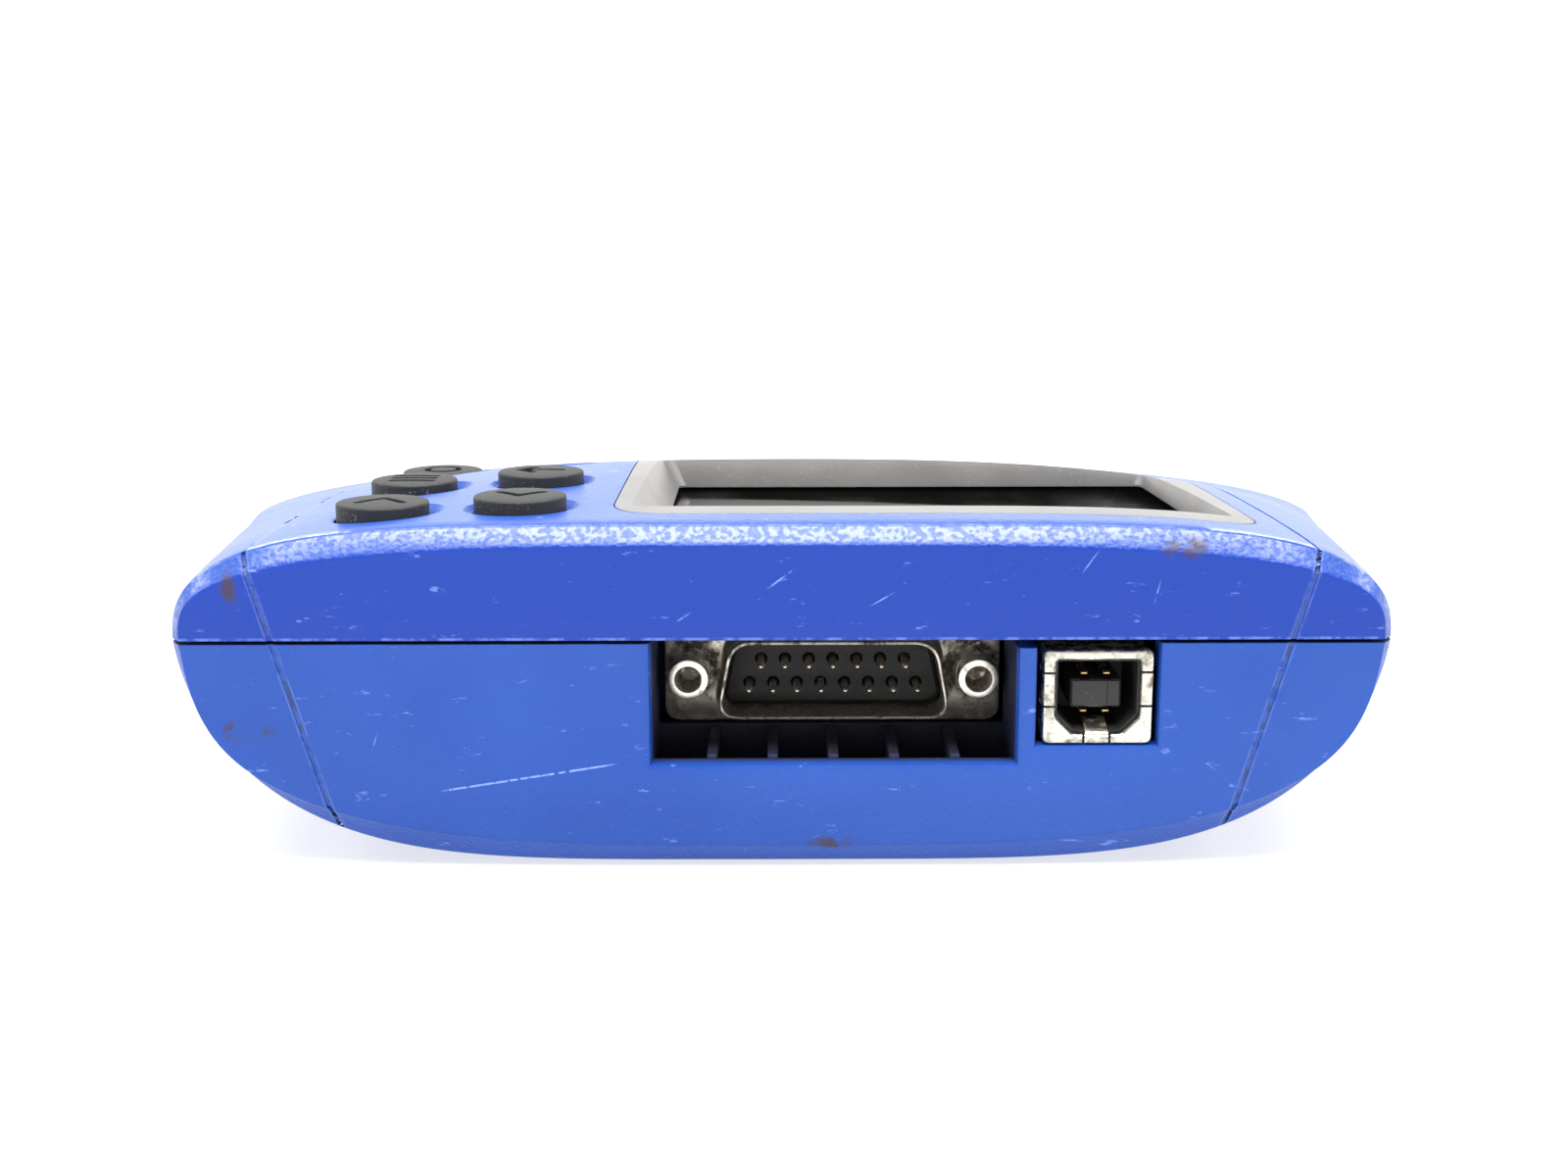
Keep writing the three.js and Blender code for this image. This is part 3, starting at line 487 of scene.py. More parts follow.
def post(radius, z0, z1, x, y, segments):  # a plain upright cylinder
    return spun([(0, z0), (radius, z0), (radius, z1), (0, z1)], x, y, segments)


def evaluated(obj):
    return bpy.data.meshes.new_from_object(obj.evaluated_get(bpy.context.evaluated_depsgraph_get()))


def combine(piece, operation, *tools):
    for tool in tools:
        for solver in ("MANIFOLD", "EXACT"):
            step = piece.modifiers.new("step", "BOOLEAN")
            step.operation, step.object, step.solver = operation, tool, solver
            result = evaluated(piece)
            piece.modifiers.remove(step)
            if len(result.polygons):
                break
        old, piece.data = piece.data, result
        bpy.data.meshes.remove(old)
        bpy.data.objects.remove(tool)
    return piece


def cut(piece, *tools):
    return combine(piece, "DIFFERENCE", *tools)


def join(piece, *tools):
    return combine(piece, "UNION", *tools)


def copyOf(piece, dz=0.0):
    twin = bpy.data.objects.new(piece.name + "Copy", piece.data.copy())
    bpy.context.collection.objects.link(twin)
    for vertex in twin.data.vertices:
        vertex.co.z += dz * mm
    return twin


def finishPiece(piece, name, material, nodes, body="case", smooth=30):
    piece.name = piece.data.name = name
    piece.data.materials.clear()
    piece.data.materials.append(material)
    piece.data.polygons.foreach_set("material_index", [0] * len(piece.data.polygons))
    piece.data.shade_smooth()
    piece.data.set_sharp_from_angle(angle=math.radians(smooth))
    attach(piece, body)
    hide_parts(*nodes)
    return piece


def nodeTree(name, inputs):
    tree = bpy.data.node_groups.new(name, "GeometryNodeTree")
    tree.interface.new_socket("Geometry", in_out="INPUT", socket_type="NodeSocketGeometry")
    for label, (kind, value) in inputs.items():
        socket = tree.interface.new_socket(label, in_out="INPUT", socket_type="NodeSocket" + kind)
        if value is not None:
            socket.default_value = value
    tree.interface.new_socket("Geometry", in_out="OUTPUT", socket_type="NodeSocketGeometry")
    return tree, tree.nodes.new("NodeGroupInput"), tree.nodes.new("NodeGroupOutput")


def wireUp(tree, source, target):
    tree.links.new(source, target)


def copiesTree():  # copies of one object on the points that it is given
    tree, given, made = nodeTree("copiesOnPoints", {"Copied": ("Object", None), "Finish": ("Material", None)})
    info = tree.nodes.new("GeometryNodeObjectInfo")
    placed = tree.nodes.new("GeometryNodeInstanceOnPoints")
    real = tree.nodes.new("GeometryNodeRealizeInstances")
    paint = tree.nodes.new("GeometryNodeSetMaterial")
    wireUp(tree, given.outputs["Copied"], info.inputs["Object"])
    wireUp(tree, given.outputs["Geometry"], placed.inputs["Points"])
    wireUp(tree, info.outputs["Geometry"], placed.inputs["Instance"])
    wireUp(tree, placed.outputs["Instances"], real.inputs["Geometry"])
    wireUp(tree, real.outputs["Geometry"], paint.inputs["Geometry"])
    wireUp(tree, given.outputs["Finish"], paint.inputs["Material"])
    wireUp(tree, paint.outputs["Geometry"], made.inputs["Geometry"])
    return tree


copies = copiesTree()


def repeated(shape, places, material):  # shape is made at the origin; places are in millimetres
    piece = meshPiece("places", places, [])
    modifier = piece.modifiers.new("copies", "NODES")
    modifier.node_group = copies
    identifiers = {s.name: s.identifier for s in copies.interface.items_tree if s.in_out == "INPUT"}
    modifier[identifiers["Copied"]] = shape
    modifier[identifiers["Finish"]] = material
    result = evaluated(piece)
    piece.modifiers.remove(modifier)
    piece.data = result
    bpy.data.objects.remove(shape)
    return piece


def finishCopies(name, shape, places, material, nodes, smooth=30):
    return finishPiece(repeated(shape, places, material), name, material, nodes, smooth=smooth)


# the body is one rounded section, whose width, rise and depth follow the distance d from the flat end
body = {
    "length": caseHigh[1] - caseLow[1], "seam": 26.0, "gap": 0.4, "wall": 2.2, "beyond": 0.4,
    "endHalf": 66.8, "widestAt": 82.0, "widest": 78.5, "taper": 1.05, "tailPower": 2.4,
    "crown": 12.8, "crownAt": 12.0, "crownFall": 9000.0, "slope": (20.35, 0.1475), "blend": 0.35,
    "deckTurn": 108.0,
    "belly": 26.15, "bellyTurn": 66.0, "bellyPowers": (2.3, 0.526), "endEase": (0.5, 6.0), "draft": 0.045,
    "chamfer": 1.8, "around": 44, "along": 64,
    "endOutline": {"half": 65.85, "rise": 10.65, "depth": 23.3, "powers": (0.571, 0.63, 0.631, 0.625)},
    "nearPowers": (0.38, 0.75, 0.42, 1.0), "widePowers": (1.0, 1.3, 0.6, 1.2),
}


def halfWidthAt(d):
    b = body
    if d < b["widestAt"]:
        short = (b["widestAt"] - d) / b["widestAt"]
        return b["widest"] - (b["widest"] - b["endHalf"]) * short ** b["taper"]
    run = (d - b["widestAt"]) / (b["length"] + b["beyond"] - b["widestAt"])
    return b["widest"] * (1 - run ** b["tailPower"]) ** (1 / b["tailPower"])


def riseAt(d):
    b, soft = body, body["blend"]
    level, slope = b["crown"] - (d - b["crownAt"]) ** 2 / b["crownFall"], b["slope"][0] - b["slope"][1] * d
    deck = -soft * math.log(math.exp(-level / soft) + math.exp(-slope / soft))
    run = max(0, (d - b["deckTurn"]) / (b["length"] + b["beyond"] / 2 - b["deckTurn"]))
    return deck * math.sqrt(1 - run ** 3)


def depthAt(d):
    b = body
    (shallower, reach), (inner, power) = b["endEase"], b["bellyPowers"]
    run = max(0, (d - b["bellyTurn"]) / (b["length"] + b["beyond"] - b["bellyTurn"]))
    return (b["belly"] - shallower * math.exp(-(d - b["chamfer"]) / reach)) * (1 - run ** inner) ** power


def powersAt(d):
    t = min(1, d / body["widestAt"]) ** 1.3
    return [a + (b - a) * t for a, b in zip(body["nearPowers"], body["widePowers"])]


def deckAt(x, d):
    across, up, _, _ = powersAt(d)
    return body["seam"] + riseAt(d) * (1 - (abs(x) / halfWidthAt(d)) ** (2 / across)) ** (up / 2)


def section(half, rise, depth, powers, around):
    deckAcross, deckUp, bellyAcross, bellyUp = powers
    turn = np.arange(4 * around) * math.pi / (2 * around)
    cosine, sine = np.round(np.cos(turn), 12), np.round(np.sin(turn), 12)
    low = sine < 0
    height = np.where(low, -np.abs(sine) ** bellyUp, np.abs(sine) ** deckUp)
    bellyReach = (1 + body["draft"] * height) * np.abs(cosine) ** bellyAcross
    reach = np.where(low, bellyReach, np.abs(cosine) ** deckAcross)
    level = body["seam"] + height * np.where(low, depth, rise)
    return np.column_stack([np.sign(cosine) * reach * half, level])


def sectionAt(d, inset, around):
    return section(halfWidthAt(d) - inset, riseAt(d) - inset, depthAt(d) - inset, powersAt(d), around)


def outerBody(shrink=0.0):
    around, end = body["around"], body["endOutline"]
    edge = section(end["half"], end["rise"], end["depth"], end["powers"], around)
    shoulder = sectionAt(body["chamfer"], 0, around)
    # both edges of the chamfer are eased: share of the way to the shoulder, and distance from the end
    eased = [(-0.09, 0), (-0.03, 0.012), (0.03, 0.06), (0.09, 0.15), (0.5, 0.87), (0.88, 1.56), (0.95, 1.72),
             (0.99, 1.9)]
    rings = [alongY(edge + (shoulder - edge) * share, frontY + d) for share, d in eased]
    for i in range(1, body["along"] + 1):
        run = math.sin(math.pi / 2 * i / body["along"])
        d = body["chamfer"] + 0.35 + (body["length"] - body["chamfer"] - 0.35) * run
        rings.append(alongY(sectionAt(d, 0, around), frontY + d))
    if shrink:
        middle = np.array([0, frontY + body["length"] / 2, body["seam"]])
        offsets = [ring - middle for ring in rings]
        rings = [np.sign(away) * np.maximum(np.abs(away) - shrink, 0.01) + middle for away in offsets]
    whole = loft(rings)
    return combine(whole, "INTERSECT", slab(shrink, 90))


def hollow(inset, start, stop, around=26, along=30):
    rings = []
    for i in range(along + 1):
        d = start + (stop - start) * math.sin(math.pi / 2 * i / along)
        rings.append(alongY(sectionAt(d, inset, around), frontY + d))
    return loft(rings)


def at(d):
    return frontY + d


# two straight lanes that cross the flat end and run on along the deck and the belly
groove = {"half": 0.3, "deep": 0.22, "low": -30, "high": 16, "start": -2, "stop": 96}
outer = outerBody()
skin = cut(copyOf(outer), outerBody(groove["deep"]))


def grooves():
    (foot, lean), half = caseLook["groove"], groove["half"]
    strips = []
    for side in (-1, 1):
        heights = (groove["low"], groove["high"])
        (x0, z0), (x1, z1) = [(side * (foot + lean * up), body["seam"] + up) for up in heights]
        outline = [(x0 - half, z0), (x0 + half, z0), (x1 + half, z1), (x1 - half, z1)]
        strips.append(loft([alongY(outline, at(d)) for d in (groove["start"], groove["stop"])]))
    return [combine(strip, "INTERSECT", copyOf(skin)) for strip in strips]


shell = cut(copyOf(outer), hollow(body["wall"], 2.4, 114))
shell = cut(shell, *grooves())
print("stage: body")


def flaredHole(outline, start, stop, flare=0.4):  # a hole along Y whose mouth is eased
    outline = np.asarray(outline, float)
    wide = grown(outline, flare)
    eased = grown(outline, flare * 0.3)
    steps = [(wide, -3), (wide, start), (eased, start + flare * 0.35), (outline, start + flare),
             (outline, stop)]
    return loft([alongY(ring, at(d)) for ring, d in steps])


usbHole = {"left": 28.0, "right": 41.5, "sill": 14.1}
lowerTop, upperBottom = body["seam"] - body["gap"] / 2, body["seam"] + body["gap"] / 2


screwBoxes = [boxOf(f"case_screw_{i}") for i in range(1, 5)]
screwPlaces = [(*((low + high) / 2)[:2], low[2]) for low, high in screwBoxes]
boss = {"radius": 4.0, "top": 26.5, "headRadius": 3.1, "headRoom": 2.3, "clearance": 1.8}
lip = {"foot": 22.6, "rise": 1.5, "room": 0.3, "thick": 1.6, "end": 116}
tray = {"half": 24.5, "front": 31.5, "rear": 91.5, "bottom": 1, "top": 20.1, "wall": 1.5}
door = {"half": 24.0, "front": 33.0, "rear": 89.6, "thick": 2.0, "hooks": (-13, 13)}


def seamLip():  # a thin band that stands up inside the upper cover, on a root below the seam
    wall, thick, end = body["wall"], lip["thick"], lip["end"]
    band = hollow(wall + lip["room"], wall + 0.5, end + 0.4 - wall)
    band = cut(band, hollow(wall + thick, wall + 1.8, end - wall - thick))
    band = combine(band, "INTERSECT", slab(lip["foot"], body["seam"] + lip["rise"]))
    root = cut(hollow(wall - 0.6, wall, end + 1 - wall), hollow(wall + thick, wall + 1.8, end - wall - thick))
    root = combine(root, "INTERSECT", slab(lip["foot"], lowerTop))
    return join(band, root)


def ribSet():
    p = port
    middle = (p["left"] + p["right"]) / 2
    length = p["back"] - 1.9
    shape = block(-p["ribWidth"] / 2, p["ribWidth"] / 2, 0, length + 0.5, p["floor"] - 0.6, p["ribTop"], 0.25)
    places = [(middle + (i - (p["ribs"] - 1) / 2) * p["ribPitch"], at(2.0), 0) for i in range(p["ribs"])]
    return repeated(shape, places, materials["case_blue"])


def cableTub():
    p, rear = port, at(port["back"])
    tub = block(p["left"] - p["wall"], p["right"] + p["wall"], at(1.2), at(p["back"] + p["wall"]),
                p["floor"] - p["wall"], lowerTop)
    return cut(tub, block(p["left"], p["right"], at(2.4), rear, p["floor"], 40),
               block(p["left"] - 3, p["right"] + 3, rear, at(p["back"] + 3), 12.8, 40))


def batteryTray():
    t, wall = tray, tray["wall"]
    inner = t["half"] - wall
    box = block(-t["half"], t["half"], at(t["front"]), at(t["rear"]), t["bottom"], t["top"])
    box = cut(box, block(-inner, inner, at(t["front"] + wall), at(t["rear"] - wall), -5, t["top"] - wall))
    box = combine(box, "INTERSECT", copyOf(outer))
    return cut(box, *[block(x - 4, x + 4, at(30.5), at(34), -1, 6.5) for x in door["hooks"]])


def doorOutline(grow):
    d = door
    sides = rectangle(-d["half"] - grow, d["half"] + grow, at(d["front"]) - grow, at(d["rear"]) + grow)
    return loft([alongZ(rounded(sides, 2), z) for z in (-5, 9)])


def lowerCover():
    p = port
    cover = combine(copyOf(shell), "INTERSECT", slab(-50, lowerTop))
    cover = join(cover, seamLip())
    cover = join(cover, cableTub())
    cover = cut(cover, flaredHole(rectangle(p["left"], p["right"], p["sill"], 44), 0, 5, p["mouthEase"]),
                flaredHole(rectangle(usbHole["left"], usbHole["right"], usbHole["sill"], 44), 0, 17.5),
                block(p["right"] - 0.5, usbHole["left"] + 0.5, at(-1), at(5), 25.2, 40))
    cover = join(cover, ribSet())
    for x, y, z in screwPlaces:
        sleeve = combine(post(boss["radius"], -5, boss["top"], x, y, 40), "INTERSECT", copyOf(outer))
        cover = join(cover, sleeve)
        cover = cut(cover, post(boss["headRadius"], -5, z + boss["headRoom"], x, y, 40),
                    post(boss["clearance"], -5, 30, x, y, 32))
    cover = join(cover, batteryTray())
    return cut(cover, doorOutline(0.3))


finishPiece(lowerCover(), "lowerCase", materials["case_blue"], ["lower_cover"])
print("stage: lower cover")


# keys, and the dishes that they stand in
keys = {
    "ease": 0.28, "crown": 0.18, "powerDrop": 0.85, "stroke": 1.05, "sunk": 0.45, "radius": 5.3, "gap": 0.3,
    "dish": 6.9, "dishDepth": 0.75, "segments": 72,
}
keyNames = ["down", "up", "menu", "enter", "power"]
keyBoxes = {name: boxOf("key_" + name) for name in keyNames}


def keyCentre(name):
    low, high = keyBoxes[name]
    return (low[0] + high[0]) / 2, (low[1] + high[1]) / 2


def strip(x0, y0, x1, y1, width):  # a rounded bar between two points
    along = np.array([x1 - x0, y1 - y0]) / math.hypot(x1 - x0, y1 - y0)
    side = np.array([-along[1], along[0]]) * width / 2
    a, b = np.array([x0, y0]), np.array([x1, y1])
    turn = np.linspace(-math.pi / 2, math.pi / 2, 7)
    end = [b + along * math.cos(t) * width / 2 + side * math.sin(t) for t in turn]
    start = [a - along * math.cos(t) * width / 2 - side * math.sin(t) for t in turn]
    return np.array(end + start)


keyMarks = {
    "down": [(-2.5, -1.3, 0, 1.3), (0, 1.3, 2.5, -1.3)],
    "up": [(-2.5, 1.3, 0, -1.3), (0, -1.3, 2.5, 1.3)],
    "menu": [(-2.4, y, 2.4, y) for y in (-1.9, 0, 1.9)],
    "enter": [(-2.6, 0, 2.6, 0), (-2.6, 0, -0.9, 1.7), (-2.6, 0, -0.9, -1.7)],
    "power": [],
}


def keyPiece(name):
    (x, y), (low, high), r, ease = keyCentre(name), keyBoxes[name], keys["radius"], keys["ease"]
    crown, sunk = keys["crown"], -keys["sunk"]
    top = high[2] - crown - (keys["powerDrop"] if name == "power" else 0)
    turns = np.linspace(0, math.pi / 2, 7)
    foot = [(radius, low[2] + z) for radius, z in ((0, 0), (3.2, 0), (3.2, 1.4), (r - 0.3, 1.75), (r, 2.1))]
    edge = [(r - ease * (1 - math.cos(t)), top - ease * (1 - math.sin(t))) for t in turns]
    cap = [(r * share, top + crown * (1 - share * share)) for share in (0.84, 0.72, 0.56, 0.4, 0.22, 0)]
    key = spun(foot + edge + cap, x, y, keys["segments"])
    for mark in keyMarks[name]:
        outline = strip(*mark, keys["stroke"]) + np.array([x, y])
        mouth = grown(outline, 0.12)
        steps = [(outline, sunk), (outline, -0.05), (mouth, 0.25), (mouth, 2)]
        key = cut(key, loft([alongZ(ring, top + z) for ring, z in steps]))
    if name == "power":
        ring = [(1.7, sunk), (2.5, sunk), (2.6, 2), (1.6, 2), (1.7, sunk)]
        key = cut(key, spun([(radius, top + z) for radius, z in ring], x, y))
    return key


for name in keyNames:
    button = next(b for b in frame["bodies"] if b.startswith("key_" + name))
    finishPiece(keyPiece(name), "key" + name.title(), materials["key_rubber"], ["key_" + name], button, 40)
print("stage: keys")


# the trim round the screen; brow and base are the funnel's corners, each as x and distance from the end
trim = {
    "under": 1.0, "step": 2.0, "foot": 34.3, "corner": 7.0,
    "brow": [(-17.4, 13.4), (53, 13.4), (50.6, 57.6), (-16.8, 57.6)],
    "base": [(-13.9, 17.3), (51.2, 17.3), (48.6, 55.2), (-13.9, 55.2)],
}
trimLow, trimHigh = boxOf("screen_bezel")


def trimOutline(grow):
    sides = rectangle(trimLow[0] - grow, trimHigh[0] + grow, trimLow[1] - grow, trimHigh[1] + grow)
    return rounded(sides, trim["corner"], 14)


def screenTrim():
    rim = cut(loft([alongZ(trimOutline(0), z) for z in (30, 45)]), copyOf(outer, -trim["under"]))
    core = loft([alongZ(trimOutline(-trim["step"]), z) for z in (trim["foot"], 45)])
    piece = combine(join(rim, core), "INTERSECT", copyOf(outer))
    brow = rounded([(x, at(d)) for x, d in trim["brow"]], 1.6)
    base = rounded([(x, at(d)) for x, d in trim["base"]], 1.1)
    steps = [(base, trim["foot"] - 0.5), (base, trim["foot"] + 0.25), (brow, 38.9),
             (grown(brow, 0.25), 39.2), (grown(brow, 0.3), 50)]
    funnel = loft([alongZ(ring, z) for ring, z in steps])
    return cut(piece, funnel)


finishPiece(screenTrim(), "screenTrim", materials["trim_grey"], ["screen_bezel"])
low, high = boxOf("screen_window")
pane = block(low[0], high[0], low[1], high[1], low[2], high[2], 0.3)
finishPiece(pane, "screenPane", materials["screen_clear"], ["screen_window"])
print("stage: screen")


lens = {"corner": 1.7, "room": 0.4}
lensLow, lensHigh = boxOf("status_lens")
pillar = {"radius": 3.6, "foot": 28.7, "pilot": 1.7, "pilotTop": 31.2}


def lensSlot():
    room, middle = lens["room"], (lensLow[1] + lensHigh[1]) / 2 - frontY
    sides = rectangle(lensLow[0] - room, lensHigh[0] + room, lensLow[1] - room, lensHigh[1] + room)
    slot, top = rounded(sides, lens["corner"]), deckAt(-30, middle)
    steps = [(slot, 20), (slot, top - 0.75), (grown(slot, 0.25), top - 0.62),
             (grown(slot, 2.2), top + 0.15), (grown(slot, 2.8), top + 2)]
    return loft([alongZ(ring, z) for ring, z in steps])


def keyDish(name):
    x, y = keyCentre(name)
    r, wide, deck = keys["radius"] + keys["gap"], keys["dish"], deckAt(x, y - frontY)
    floor = deck - keys["dishDepth"]
    dish = [(0, 20), (r, 20), (r, floor - 0.1), (r + 0.1, floor), (r + 0.5, floor + 0.06), (wide, deck + 0.25),
            (wide + 0.5, deck + 0.6), (wide + 2.2, deck + 3.5), (0, deck + 3.5)]
    return spun(dish, x, y, keys["segments"])


def upperCover():
    cover = combine(copyOf(shell), "INTERSECT", slab(upperBottom, 90))
    for x, y, _ in screwPlaces:
        column = post(pillar["radius"], pillar["foot"], 45, x, y, 32)
        cover = join(cover, combine(column, "INTERSECT", copyOf(outer, -1)))
        cover = cut(cover, post(pillar["pilot"], 20, pillar["pilotTop"], x, y, 24))
    seat = cut(loft([alongZ(trimOutline(0.15), z) for z in (30, 45)]), copyOf(outer, -trim["under"] - 0.3))
    cover = cut(cover, seat, loft([alongZ(trimOutline(0.3 - trim["step"]), z) for z in (20, 45)]))
    return cut(cover, *[keyDish(name) for name in keyNames], lensSlot())


finishPiece(upperCover(), "upperCase", materials["case_blue"], ["upper_cover"])


def statusLens():
    f = Finish("lensBlue")
    haze = f.noise(3, 2)
    f.set(Base_Color=f.mix(haze, (0.02, 0.05, 0.32), (0.03, 0.075, 0.4)), Roughness=0.22 + haze * 0.1)
    piece = block(*(v for pair in zip(lensLow, lensHigh) for v in pair), 0.5)
    finishPiece(piece, "statusLens", f.material, ["status_lens"])


statusLens()
print("stage: upper cover")


grip = {"bars": 4, "first": 78.5, "pitch": 2.2, "width": 1.1, "half": 8, "narrower": 0.8, "deep": 0.55}


def gripBar(i):
    run, half = grip["pitch"] * i, grip["half"] - i * grip["narrower"]
    sides = rectangle(-half, half, at(grip["first"] + run), at(grip["first"] + grip["width"] + run))
    face = body["seam"] - depthAt(79 + run)
    return loft([alongZ(rounded(sides, 0.5), z) for z in (-3, face + grip["deep"])])


def batteryDoor():
    panel = cut(copyOf(outer), copyOf(outer, door["thick"]))
    panel = combine(panel, "INTERSECT", doorOutline(0))
    for x in door["hooks"]:
        root = block(x - 3, x + 3, at(33.4), at(36), 1.5, 3.8)
        panel = join(panel, root, block(x - 3, x + 3, at(30.4), at(36), 2.6, 3.8))
    panel = join(panel, block(-5, 5, at(86.9), at(88.1), 1.5, 6.4))  # the latch
    return cut(panel, *[gripBar(i) for i in range(grip["bars"])])


finishPiece(batteryDoor(), "batteryDoor", materials["case_blue"], ["battery_door"], "door")
print("stage: battery door")


def profileAlongY(outline, steps):  # steps of (distance along Y, growth)
    return loft([alongY(grown(outline, grow), y) for y, grow in steps])


def profileAlongX(outline, x0, x1):  # outline of (y, z)
    outline = np.asarray(outline, float)
    return loft([np.column_stack([np.full(len(outline), x), outline]) for x in (x0, x1)])


def rodAlong(path, radii, segments=14):  # a round rod along a path of (y, z) at x = 0
    path = np.array(path, float)
    heading = np.gradient(path, axis=0)
    heading /= np.linalg.norm(heading, axis=1)[:, None]
    turn = np.arange(segments) * 2 * math.pi / segments
    rings = [np.column_stack([r * np.cos(turn), y - tz * r * np.sin(turn), z + ty * r * np.sin(turn)])
             for (y, z), (ty, tz), r in zip(path, heading, radii)]
    return loft(rings)


def ringed(radius, start, stop, pitch, depth):  # the zigzag profile of a thread, as (radius, distance)
    turns = int(abs(stop - start) / pitch)
    step = math.copysign(pitch, stop - start)
    return [(radius - depth * (i % 2), start + step * i / 2) for i in range(2 * turns + 1)]


def plugOutline(inset):
    lean = 2 * plug["tall"] * math.tan(math.radians(plug["slant"]))
    half, tall = plug["half"] - inset, plug["tall"] - inset
    corners = [(-half, -tall), (half, -tall), (half - lean, tall), (lean - half, tall)]
    return rounded([(plugX + x, plugZ + z) for x, z in corners], plug["corner"] - inset * 0.8, 10)


def screwHole(side):
    return spunAlongY([(0, at(10)), (1.9, at(10)), (1.9, at(20)), (0, at(20))],
                      plugX + side * plug["screwSpacing"] / 2, plugZ, 32)


def plugShell():
    low, high = boxOf("obd_port_shell")
    face, mouth = at(plug["flange"]), at(plug["flange"] - plug["reach"])
    plate = rounded(rectangle(low[0], high[0], low[2], high[2]), 1.8, 8)
    shell = profileAlongY(plate, [(face, -0.18), (face + 0.06, -0.05), (face + 0.18, 0), (face + 0.6, 0)])
    skirt = [(mouth, -0.2), (mouth + 0.05, -0.07), (mouth + 0.18, 0), (face - 0.75, 0), (face - 0.4, 0.1),
             (face - 0.15, 0.32), (face + 0.03, 0.75), (face + 0.4, 0.75)]
    shell = join(shell, profileAlongY(plugOutline(0), skirt))
    bore = [(mouth - 1, 0.3), (mouth - 0.05, 0.14), (mouth + 0.12, 0.03), (mouth + 0.3, 0), (at(20), 0)]
    return cut(shell, profileAlongY(plugOutline(plug["skin"]), bore), screwHole(-1), screwHole(1))


def pinPlaces(count, row):
    z = plugZ + (row - 0.5) * plug["rows"]
    return [(plugX + (i - (count - 1) / 2) * plug["pitch"], z) for i in range(count)]


allPins = pinPlaces(8, 0) + pinPlaces(7, 1)


def plugInsulator():
    face = at(plug["flange"])
    low, high = boxOf("obd_port_insulator")
    nose = profileAlongY(plugOutline(plug["skin"] + 0.3), [(face - 0.8, -0.3), (face - 0.6, 0), (face + 1, 0)])
    body = profileAlongY(rounded(rectangle(low[0], high[0], low[2], high[2]), 0.6, 4),
                         [(face + 0.9, -0.25), (face + 1.15, 0), (high[1] - 0.25, 0), (high[1], -0.25)])
    cup = [(0, face - 3), (0.75, face - 3), (0.75, face - 0.8), (0.6, face - 0.55), (0.6, at(30)), (0, at(30))]
    cups = [spunAlongY(cup, x, z, 20) for x, z in allPins]
    return cut(join(nose, body), *cups, screwHole(-1), screwHole(1))


def pinShape(row):
    r, tip, bend = plug["pinRadius"], at(plug["flange"] - plug["reach"] + 0.8), at(23.5 + 2.54 * row)
    rise = boxOf("obd_pin_1")[1][2] - plugZ - (row - 0.5) * plug["rows"]
    nose = [(tip + 0.02, 0.08), (tip + 0.1, 0.22), (tip + 0.28, 0.33), (tip + 0.55, 0.39), (tip + 0.9, r),
            (bend - 1.2, r)]
    turns = np.linspace(0.15, math.pi / 2, 6)
    corner = [(bend - 1 + math.sin(a), 1 - math.cos(a)) for a in turns]
    path = [(y, 0) for y, _ in nose] + corner + [(bend, rise - 0.4), (bend, rise)]
    return rodAlong(path, [radius for _, radius in nose] + [0.34] * len(corner) + [0.3, 0.18])


for row, (count, label) in enumerate([(8, "lowerPins"), (7, "upperPins")]):
    nodes = [f"obd_pin_{8 * row + i}" for i in range(1, count + 1)]
    places = [(x, 0, z) for x, z in pinPlaces(count, row)]
    finishCopies(label, pinShape(row), places, pinSilver, nodes, 40)

finishPiece(plugShell(), "plugShell", materials["dull_nickel"], ["obd_port_shell"], smooth=35)
finishPiece(plugInsulator(), "plugInsulator", deepBlack, ["obd_port_insulator"])


jack = {
    "hexRadius": 2.75, "hexLength": 2.6, "noseRadius": 2.33, "reach": 4.9, "bore": 1.42, "pitch": 0.64,
    "thread": 0.16, "shank": 1.4, "shankLength": 5.8,
}


def jackShape():  # its seat is at y = 0 and its open end looks along -Y
    j, end, hexEnd = jack, -jack["reach"], -jack["hexLength"]
    corners = [(j["hexRadius"] * math.cos(a), j["hexRadius"] * math.sin(a)) for a in
               np.arange(6) * math.pi / 3 + math.pi / 6]
    turned = [(0, hexEnd - 0.01), (2.3, hexEnd - 0.01), (2.8, hexEnd + 0.32), (2.8, 0.01), (0, 0.01)]
    hexagon = profileAlongY(corners, [(hexEnd, 0), (0, 0)])
    hexagon = combine(hexagon, "INTERSECT", spunAlongY(turned, 0, 0, 60))
    r, shank, bore, length = j["noseRadius"], j["shank"], j["bore"], j["shankLength"]
    nose = [(0, end), (r - 0.16, end), (r - 0.05, end + 0.05), (r, end + 0.16), (r, -1), (0, -1)]
    stem = [(0, -1), (shank, -1), *ringed(shank, 0.3, length - 0.5, j["pitch"], j["thread"]),
            (0.9, length), (0, length)]
    screw = join(hexagon, spunAlongY(nose, 0, 0, 60), spunAlongY(stem, 0, 0, 40))
    hole = [(0, end - 1), (bore + 1.0, end - 1), (bore + 0.16, end),
            *ringed(bore + 0.12, end + 0.25, -0.7, j["pitch"], j["thread"]), (bore - 0.2, -0.3), (0, -0.2)]
    return cut(screw, spunAlongY(hole, 0, 0, 48))


